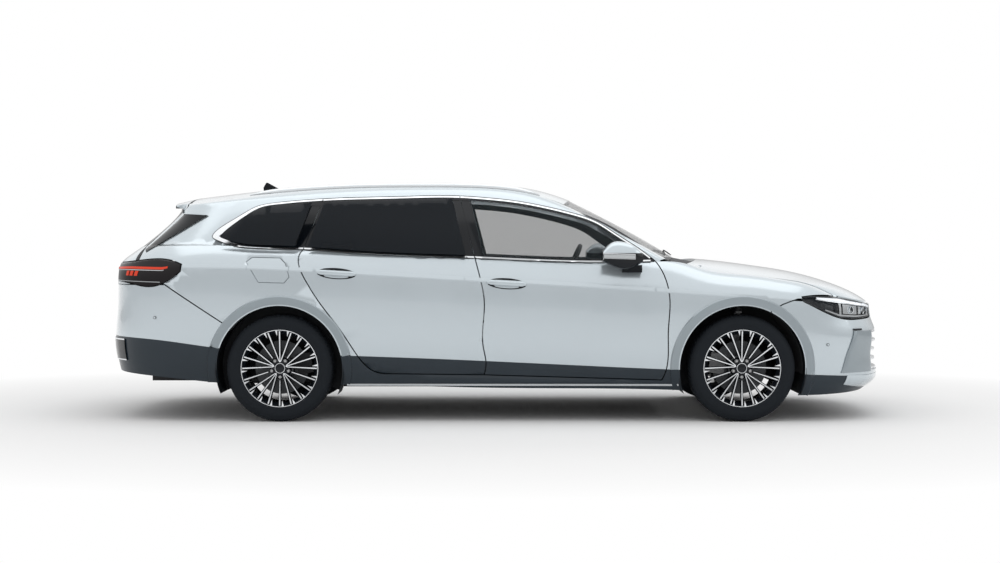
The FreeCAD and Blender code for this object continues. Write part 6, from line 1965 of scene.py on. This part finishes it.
@dataclass(frozen=True)
class Cabin:
    """Steering wheel, screen and the seats' frames and pads."""

    wheel_centre: tuple[float, float, float] = (502.5, 370.0, 927.0)
    wheel_lean: float = math.radians(23)
    rim_radius: float = 171.0
    rim_half: float = 14.5
    seat_side: float = 370.0
    bench_side: float = 360.0
    front_lean: float = math.atan2(150, 600)
    rear_lean: float = math.atan2(110, 470)
    pad_rows: int = 25
    pad_power: float = 5.0
    voxel: float = 0.012
    cloth_frames: int = 20
    swell_cap: float = 0.022
    swell_share: float = 0.7
    seam_deep: float = 7.0
    seam_half: float = 8.0

    def make(self) -> None:
        """Makes all cabin pieces."""
        self.steering_wheel()
        self.screen()
        self.seats()

    def steering_wheel(self) -> None:
        """A leather rim on three spokes round a soft pad, with bright insets."""
        ahead = np.array([-math.cos(self.wheel_lean), 0, math.sin(self.wheel_lean)])
        aside = np.array([0.0, 1.0, 0.0])
        up = np.cross(ahead, aside)
        build = Builder("steering_wheel_dressed", "steering_wheel", origin=self.wheel_centre)
        turn = np.linspace(0, 2 * math.pi, 16, endpoint=False)
        ring = np.stack([self.rim_radius + self.rim_half * np.cos(turn), self.rim_half * np.sin(turn)], -1)
        pad = np.array([(0.5, -28), (58, -26), (64, -10), (60, 6), (44, 15), (20, 19), (0.5, 20)], float)
        column = np.array([(0.5, -118), (16, -118), (16, -20), (0.5, -20)], float)
        for profile, finish, count in ((ring, Finishes.leather, 72), (pad, Finishes.cabin, 40),
                                       (column, Finishes.cabin, 24)):
            points, faces = revolved(profile, count)
            build.add(points[:, :1] * up + points[:, 1:2] * ahead + points[:, 2:] * aside, faces, finish)
        wide = np.linspace(1.25, 0.8, 10)
        size = np.stack([wide, 0 * wide + 1], -1)
        for way in (aside, -aside, up if up[2] < 0 else -up):
            path = way * np.linspace(40, 164, 10)[:, None] - ahead * 6
            build.add(*sweep(path, ahead, rounded(34, 14, 3.0, 14), scale=size), Finishes.cabin)
            build.add(*sweep(path[2:8] + ahead * 7, ahead, rounded(16, 3, 3.0, 10)), Finishes.bright)
        build.make(["steering_wheel"], 45)

    def screen(self) -> None:
        """A free-standing screen over the dashboard's middle and a hood over the dials."""
        build = Builder("dashboard_screen", "car_body")
        build.add(*box_shell((fwd(-866), -150, 828), (fwd(-852), 150, 978)), Finishes.gloss_black)
        build.add(*box_shell((fwd(-872), 230, 900), (fwd(-856), 510, 985)), Finishes.gloss_black)
        build.make(bevel=5)

    def seats(self) -> None:
        """Two front seats and the rear bench: hard frames, and pads that swell as stuffed cloth does."""
        frames = Builder("front_seat_frames", "car_body")
        for side in (1, -1):
            y = side * self.seat_side
            frames.add(*box_shell((-18, y - 235, 331), (466, y + 235, 398)), Finishes.cabin)
            self.plank(frames, y, 236, (-112, 400), (-262, 985), 24)
            for offset in (-45, 45):
                post = np.array([(-222.0, y + offset, 985.0), (-226.0, y + offset, 1050.0)])
                path = mix(post[:1], post[1:], np.linspace(0, 1, 4)[:, None])
                frames.add(*sweep(path, np.array([1.0, 0, 0]), rounded(11, 11, 2.0, 12)), Finishes.steel)
        frames.make(["front_seats"], 40, bevel=6)
        bench = Builder("rear_bench_frame", "car_body")
        bench.add(*box_shell((-890, -600, 373), (-450, 600, 420)), Finishes.cabin)
        self.plank(bench, 0, 605, (-985, 430), (-1092, 1000), 14)
        bench.make(["rear_seat"], 40, bevel=6)
        lean = self.front_lean
        front = [self.pad("front_cushion", (210, 0, 436), (226, 216, 42), 0.0, 0.16, (130.0,)),
                 self.pad("front_backrest", (-128, 0, 728), (44, 212, 262), lean, 0.12, (120.0,)),
                 self.pad("front_headrest", (-230, 0, 1072), (30, 106, 62), lean, 0.0, ())]
        for piece in front:
            self.paired(piece, self.seat_side)
        lean = self.rear_lean
        rear = [self.pad("rear_cushion", (-668, 0, 474), (206, 590, 42), 0.0, 0.05, (0.0, 215.0)),
                self.pad("rear_backrest", (-985, 0, 745), (44, 590, 250), lean, 0.04, (0.0, 215.0))]
        for piece in rear:
            self.finished(piece)
        self.paired(self.pad("rear_headrest", (-1066, 0, 1086), (28, 108, 60), lean, 0.0, ()),
                    self.bench_side)

    def plank(self, build: Builder, y: float, half: float, foot: tuple, head: tuple, thick: float) -> None:
        """A leaning back panel from a foot to a head, each (x, z).

        Args:
            build: what it is added to.
            y: where its middle is across the car.
            half: its half width.
            foot: station and height of its foot.
            head: station and height of its head.
            thick: its thickness.
        """
        corners = [(x - depth, y + across, z) for x, z in (foot, head) for across in (-half, half)
                   for depth in (0, thick)]
        build.add(np.array(corners, float), BLOCK_FACES, Finishes.cabin)

    def pad(self, name: str, centre: tuple, half: tuple, lean: float, bolster: float,
            seams: tuple[float, ...]) -> bpy.types.Object:
        """One stuffed pad: a rounded block with raised sides, swollen by cloth pressure, then seamed.

        Args:
            name: the pad's name.
            centre: its middle in millimetres.
            half: its half sizes along, across and up before it leans.
            lean: how far it leans back, in radians.
            bolster: how much its sides stand up, as a share of its width.
            seams: distances from its middle plane of the sewn channels.

        Returns:
            The pad's object, not yet riding on a body.
        """
        rows = self.pad_rows
        u = np.linspace(-1, 1, rows)
        square = np.stack(np.meshgrid(u, u, indexing="ij"), -1).reshape(-1, 2)
        blocks, faces = [], []
        for axis in range(3):
            for way in (-1, 1):
                faces += [[len(blocks) * rows * rows + i for i in face] for face in grid_faces(rows, rows)]
                blocks.append(np.insert(square, axis, way, axis=1))
        cube = np.concatenate(blocks)
        scale = (np.abs(cube) ** self.pad_power).sum(1) ** (-1 / self.pad_power)
        shape = cube * scale[:, None] * np.array(half)
        side = ramp((np.abs(shape[:, 1]) / half[1] - 0.55) / 0.4)
        out = 2 if half[2] < half[0] else 0
        shape[:, out] += side * bolster * half[1] * np.clip(shape[:, out] / half[out], 0, 1)
        turned = shape.copy()
        turned[:, 0] = shape[:, 0] * math.cos(lean) - shape[:, 2] * math.sin(lean)
        turned[:, 2] = shape[:, 0] * math.sin(lean) + shape[:, 2] * math.cos(lean)
        mesh = bpy.data.meshes.new(name)
        mesh.from_pydata(((turned + centre) * MM).tolist(), [], faces)
        merged(mesh, 1e-5)
        made = linked(name, mesh)
        self.modified(made, "REMESH", mode="VOXEL", voxel_size=self.voxel)
        self.swollen(made)
        self.modified(made, "SUBSURF", levels=1, render_levels=1)
        face = np.array([0, 0, 1.0]) if out else np.array([math.cos(lean), 0, math.sin(lean)])
        self.seamed(made, centre, face, seams)
        return made

    def modified(self, made: bpy.types.Object, kind: str, **settings: float | int | str) -> None:
        """Adds a modifier and applies it.

        Args:
            made: the object.
            kind: the modifier's type.
            settings: its properties.
        """
        modifier = made.modifiers.new("step", kind)
        for name, value in settings.items():
            setattr(modifier, name, value)
        graph = bpy.context.evaluated_depsgraph_get()
        result = bpy.data.meshes.new_from_object(made.evaluated_get(graph))
        made.modifiers.clear()
        made.data = result

    def swollen(self, made: bpy.types.Object) -> None:
        """Blows the pad up as cloth for twenty frames, no point moving further than the cap."""
        start = vectors(made.data.vertices, "co")
        cloth = made.modifiers.new("cloth", "CLOTH")
        cloth.settings.use_pressure = True
        cloth.settings.uniform_pressure_force = 4.0
        cloth.settings.effector_weights.gravity = 0.0
        cloth.settings.quality = 4
        cloth.point_cache.frame_start = 1
        cloth.point_cache.frame_end = self.cloth_frames
        scene = bpy.context.scene
        for number in range(1, self.cloth_frames + 1):
            scene.frame_set(number)
        graph = bpy.context.evaluated_depsgraph_get()
        end = vectors(made.evaluated_get(graph).data.vertices, "co")
        made.modifiers.clear()
        scene.frame_set(1)
        move = end - start
        move -= move.mean(0)
        length = np.maximum(np.linalg.norm(move, axis=1), 1e-9)
        move *= (np.minimum(length, self.swell_cap) / length)[:, None]
        self.moved(made.data, start + move * self.swell_share)

    def moved(self, mesh: bpy.types.Mesh, place: Array) -> None:
        """Puts a mesh's points at new places."""
        mesh.vertices.foreach_set("co", place.ravel())
        mesh.update()

    def seamed(self, made: bpy.types.Object, centre: tuple, face: Array, seams: tuple[float, ...]) -> None:
        """Presses the sewn channels into the pad's face.

        Args:
            made: the pad.
            centre: its middle in millimetres.
            face: the way that its face looks.
            seams: distances from its middle plane of the channels.
        """
        place = vectors(made.data.vertices, "co")
        normal = vectors(made.data.vertex_normals, "vector")
        away = place / MM - centre
        sunk = np.zeros(len(place))
        for seam in seams:
            sunk += self.seam_deep * np.exp(-(((np.abs(away[:, 1]) - seam) / self.seam_half) ** 2))
        sunk *= np.clip(normal @ face, 0, 1)
        self.moved(made.data, place - normal * sunk[:, None] * MM)

    def paired(self, piece: bpy.types.Object, across: float) -> None:
        """Copies a pad to the left and the right within its mesh, and drops the first one.

        Args:
            piece: the pad, made in the middle plane.
            across: how far each copy stands aside.
        """
        for name, side in SIDES:
            mesh = piece.data.copy()
            self.moved(mesh, vectors(mesh.vertices, "co") + (0, side * across * MM, 0))
            self.finished(linked(f"{piece.name}_{name}", mesh))
        bpy.data.objects.remove(piece)

    def finished(self, made: bpy.types.Object) -> None:
        made.data.materials.clear()
        made.data.materials.append(Finishes.cloth.material())
        made.data.shade_smooth()
        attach(made, "car_body")
        log.info("%s: %d faces", made.name, len(made.data.polygons))


class Bodywork:
    """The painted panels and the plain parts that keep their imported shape."""

    def make(self) -> None:
        """Dresses every panel."""
        f = Finishes
        skins = [SIDE, CANT]
        for side in ("left", "right"):
            Panel(f"body_side_{side}", f"panel_body_side_{side}", skins, [f.paint, f.cabin, f.painted_shade_below_crease],
                  paint_and_cabin).make()
            for end in ("front", "rear"):
                Panel(f"{end}_door_{side}", f"panel_{end}_door_{side}", [SIDE],
                      [f.paint, f.cabin, f.gloss_black, f.painted_shade_below_crease], door_finish).make()
                glass = f.clear_glass if end == "front" else f.privacy_glass
                Panel(f"{end}_door_glass_{side}", f"pane_{end}_door_{side}", [], [glass]).make()
        Panel("fenders", "panel_fenders", [SIDE], [f.paint, f.painted_shade_below_crease], shell_finish).make()
        Panel("fuel_flap", "panel_fuel_flap", [SIDE], [f.paint]).make()
        for end in ("front", "rear"):
            Panel(f"{end}_bumper", f"panel_{end}_bumper", [SIDE], [f.paint, f.painted_shade_below_crease],
                  shell_finish).make()
        Panel("grille", "dressed_grille", [], [f.bright, f.gloss_black], self.grille_finish).make()
        Panel("roof", "panel_roof", [ROOF], [f.paint, f.headliner_in_painted_shade], self.roof_finish).make()
        Panel("bonnet", "panel_bonnet", [BONNET], [f.paint, f.underbody], self.lid_finish).make()
        Panel("tailgate", "panel_tailgate", [SIDE, ROOF],
              [f.paint, f.cabin, f.gloss_black], self.gate_finish).make()
        Panel("windscreen", "pane_windscreen", [SCREEN], [f.clear_glass]).make()
        Panel("tailgate_glass", "pane_tailgate", [], [f.privacy_glass]).make()
        Panel("quarter_glass", "pane_quarters", [], [f.privacy_glass]).make()
        plain = {"cowl_panel": f.black_plastic, "roof_rails": f.rail, "roof_fin": f.gloss_black,
                 "floor_pan": f.underbody, "engine": f.cast, "front_subframe": f.chassis,
                 "rear_axle": f.chassis,
                 "exhaust": f.chassis, "dashboard": f.cabin, "knuckle_left": f.cast, "knuckle_right": f.cast,
                 "tail_lamps": f.tail_dark, "tailgate_lamps": f.tail_dark}
        for node, finish in plain.items():
            Panel(node, f"dressed_{node}", [], [finish]).make()

    def roof_finish(self, centre: Array, facing: Array) -> Array:
        """Paint above, and below the roof lining, its grey darkened as painted shade of the cabin."""
        return np.where(facing[:, 2] < -0.3, 1, 0)

    def lid_finish(self, centre: Array, facing: Array) -> Array:
        """Paint above and undercoat below."""
        return np.where(facing[:, 2] < -0.2, 1, 0)

    def gate_finish(self, centre: Array, facing: Array) -> Array:
        """Paint outside, black blades between the spoiler and the glass's foot, and cabin trim inside."""
        under_spoiler = centre[:, 2] < 1296 - 0.405 * (centre[:, 0] + 1948)
        blade = under_spoiler & (centre[:, 2] > 1080)
        return np.where(facing[:, 0] > 0.4, 1, np.where(blade, 2, 0))

    def grille_finish(self, centre: Array, facing: Array) -> Array:
        """Bright bars in front of a black back."""
        depth, _ = SIDE.read(centre)
        return np.where(depth > 30, 1, 0)


@dataclass(frozen=True)
class Studio:
    """Pale floor, soft lamps, a white surround and the camera."""

    camera_at: tuple[float, float, float] = (0.016, -10.8, 1.043)
    pitch_down: float = 1.046
    focal_pixels: float = 1616.0
    image_width: float = 1000.0
    world_level: float = 0.74
    horizon_level: float = 0.48
    zenith_level: float = 1.12
    floor_reach: float = 60.0

    def make(self) -> None:
        """Builds the whole studio."""
        self.camera()
        self.floor()
        self.world()
        self.lamp("key_above", (0.0, -1.0, 6.0), (0.0, 0.0, 0.0), (9.0, 5.0), 105.0)
        self.lamp("front_fill", (7.5, -3.0, 3.2), (60.0, 0.0, 68.0), (3.0, 3.0), 25.0)

    def camera(self) -> None:
        """The camera, level with the belt and a little pitched down."""
        lens = bpy.data.cameras.new("camera")
        lens.sensor_width = 36.0
        lens.lens = lens.sensor_width * self.focal_pixels / self.image_width
        made = linked("camera", lens)
        made.location = self.camera_at
        made.rotation_euler = (math.radians(90 - self.pitch_down), 0, 0)
        bpy.context.scene.camera = made

    def floor(self) -> None:
        """A wide pale floor that shows as the white surround and keeps the shadow."""
        mesh = bpy.data.meshes.new("floor")
        reach = self.floor_reach
        mesh.from_pydata([(-reach, -reach, 0), (reach, -reach, 0), (reach, reach, 0), (-reach, reach, 0)], [],
                         [(0, 1, 2, 3)])
        material = bpy.data.materials.new("pale_floor")
        material.use_nodes = True
        graph = Graph(material.node_tree)
        colour = graph.blend(graph.noise(0.8), (0.93, 0.93, 0.93, 1), (0.95, 0.95, 0.95, 1))
        dull = graph.node("ShaderNodeBsdfPrincipled", None,
                          {"Base Color": colour, "Roughness": 0.9, "Specular IOR Level": 0.0})
        white = graph.node("ShaderNodeEmission", None, {"Color": (1, 1, 1, 1), "Strength": 1.0})
        camera, glossy, through = graph.rays()
        far = ((graph.along(0) * 0.75) ** 2.0 + graph.along(1) ** 2.0).fit(4.5, 16.0)
        seen = camera.larger(glossy).larger(through) * far
        both = graph.node("ShaderNodeMixShader", None, {0: seen, 1: dull.out(), 2: white.out()})
        graph.node("ShaderNodeOutputMaterial", None, {"Surface": both.out()})
        mesh.materials.append(material)
        made = linked("floor", mesh)

    def world(self) -> None:
        """A white world where it is seen, brighter upwards in gloss, and a plain soft level elsewhere."""
        world = bpy.data.worlds.new("surround")
        world.use_nodes = True
        graph = Graph(world.node_tree)
        camera, glossy, through = graph.rays()
        rise = graph.node("ShaderNodeSeparateXYZ", None,
                          {0: graph.node("ShaderNodeTexCoord").out("Generated")})
        mirrored = rise.out(2).fit(0.03, 0.32, self.horizon_level, self.zenith_level)
        shown = camera.larger(through)
        hidden = 1.0 - shown
        level = shown + glossy * hidden * mirrored + hidden * (1.0 - glossy) * self.world_level
        background = graph.node("ShaderNodeBackground", None, {"Color": (1, 1, 1, 1), "Strength": level})
        graph.node("ShaderNodeOutputWorld", None, {"Surface": background.out()})
        bpy.context.scene.world = world

    def lamp(self, name: str, place: Sequence[float], turn: Sequence[float], extent: Sequence[float],
             power: float) -> None:
        """One soft area lamp, its turn in degrees and its extent in metres.

        Args:
            name: the lamp's name.
            place: where it hangs, in metres.
            turn: its angles in degrees.
            extent: its width and length in metres.
            power: its power in watts.
        """
        data = bpy.data.lights.new(name, "AREA")
        data.shape = "RECTANGLE"
        data.size, data.size_y = extent
        data.energy = power
        made = linked(name, data)
        made.location = place
        made.rotation_euler = [math.radians(angle) for angle in turn]


def main() -> None:
    """Builds the studio and the car in order."""
    logging.basicConfig(level=logging.INFO, format="%(name)s %(message)s")
    bpy.context.scene.view_settings.view_transform = "Standard"
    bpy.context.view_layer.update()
    for part in (Studio, Bodywork, Wheels, SideTrim, Lamps, Mirrors, Bumpers, Liners, Wipers, Cabin):
        log.info("building: %s", part.__name__)
        part().make()


if __name__ == "__main__":
    main()
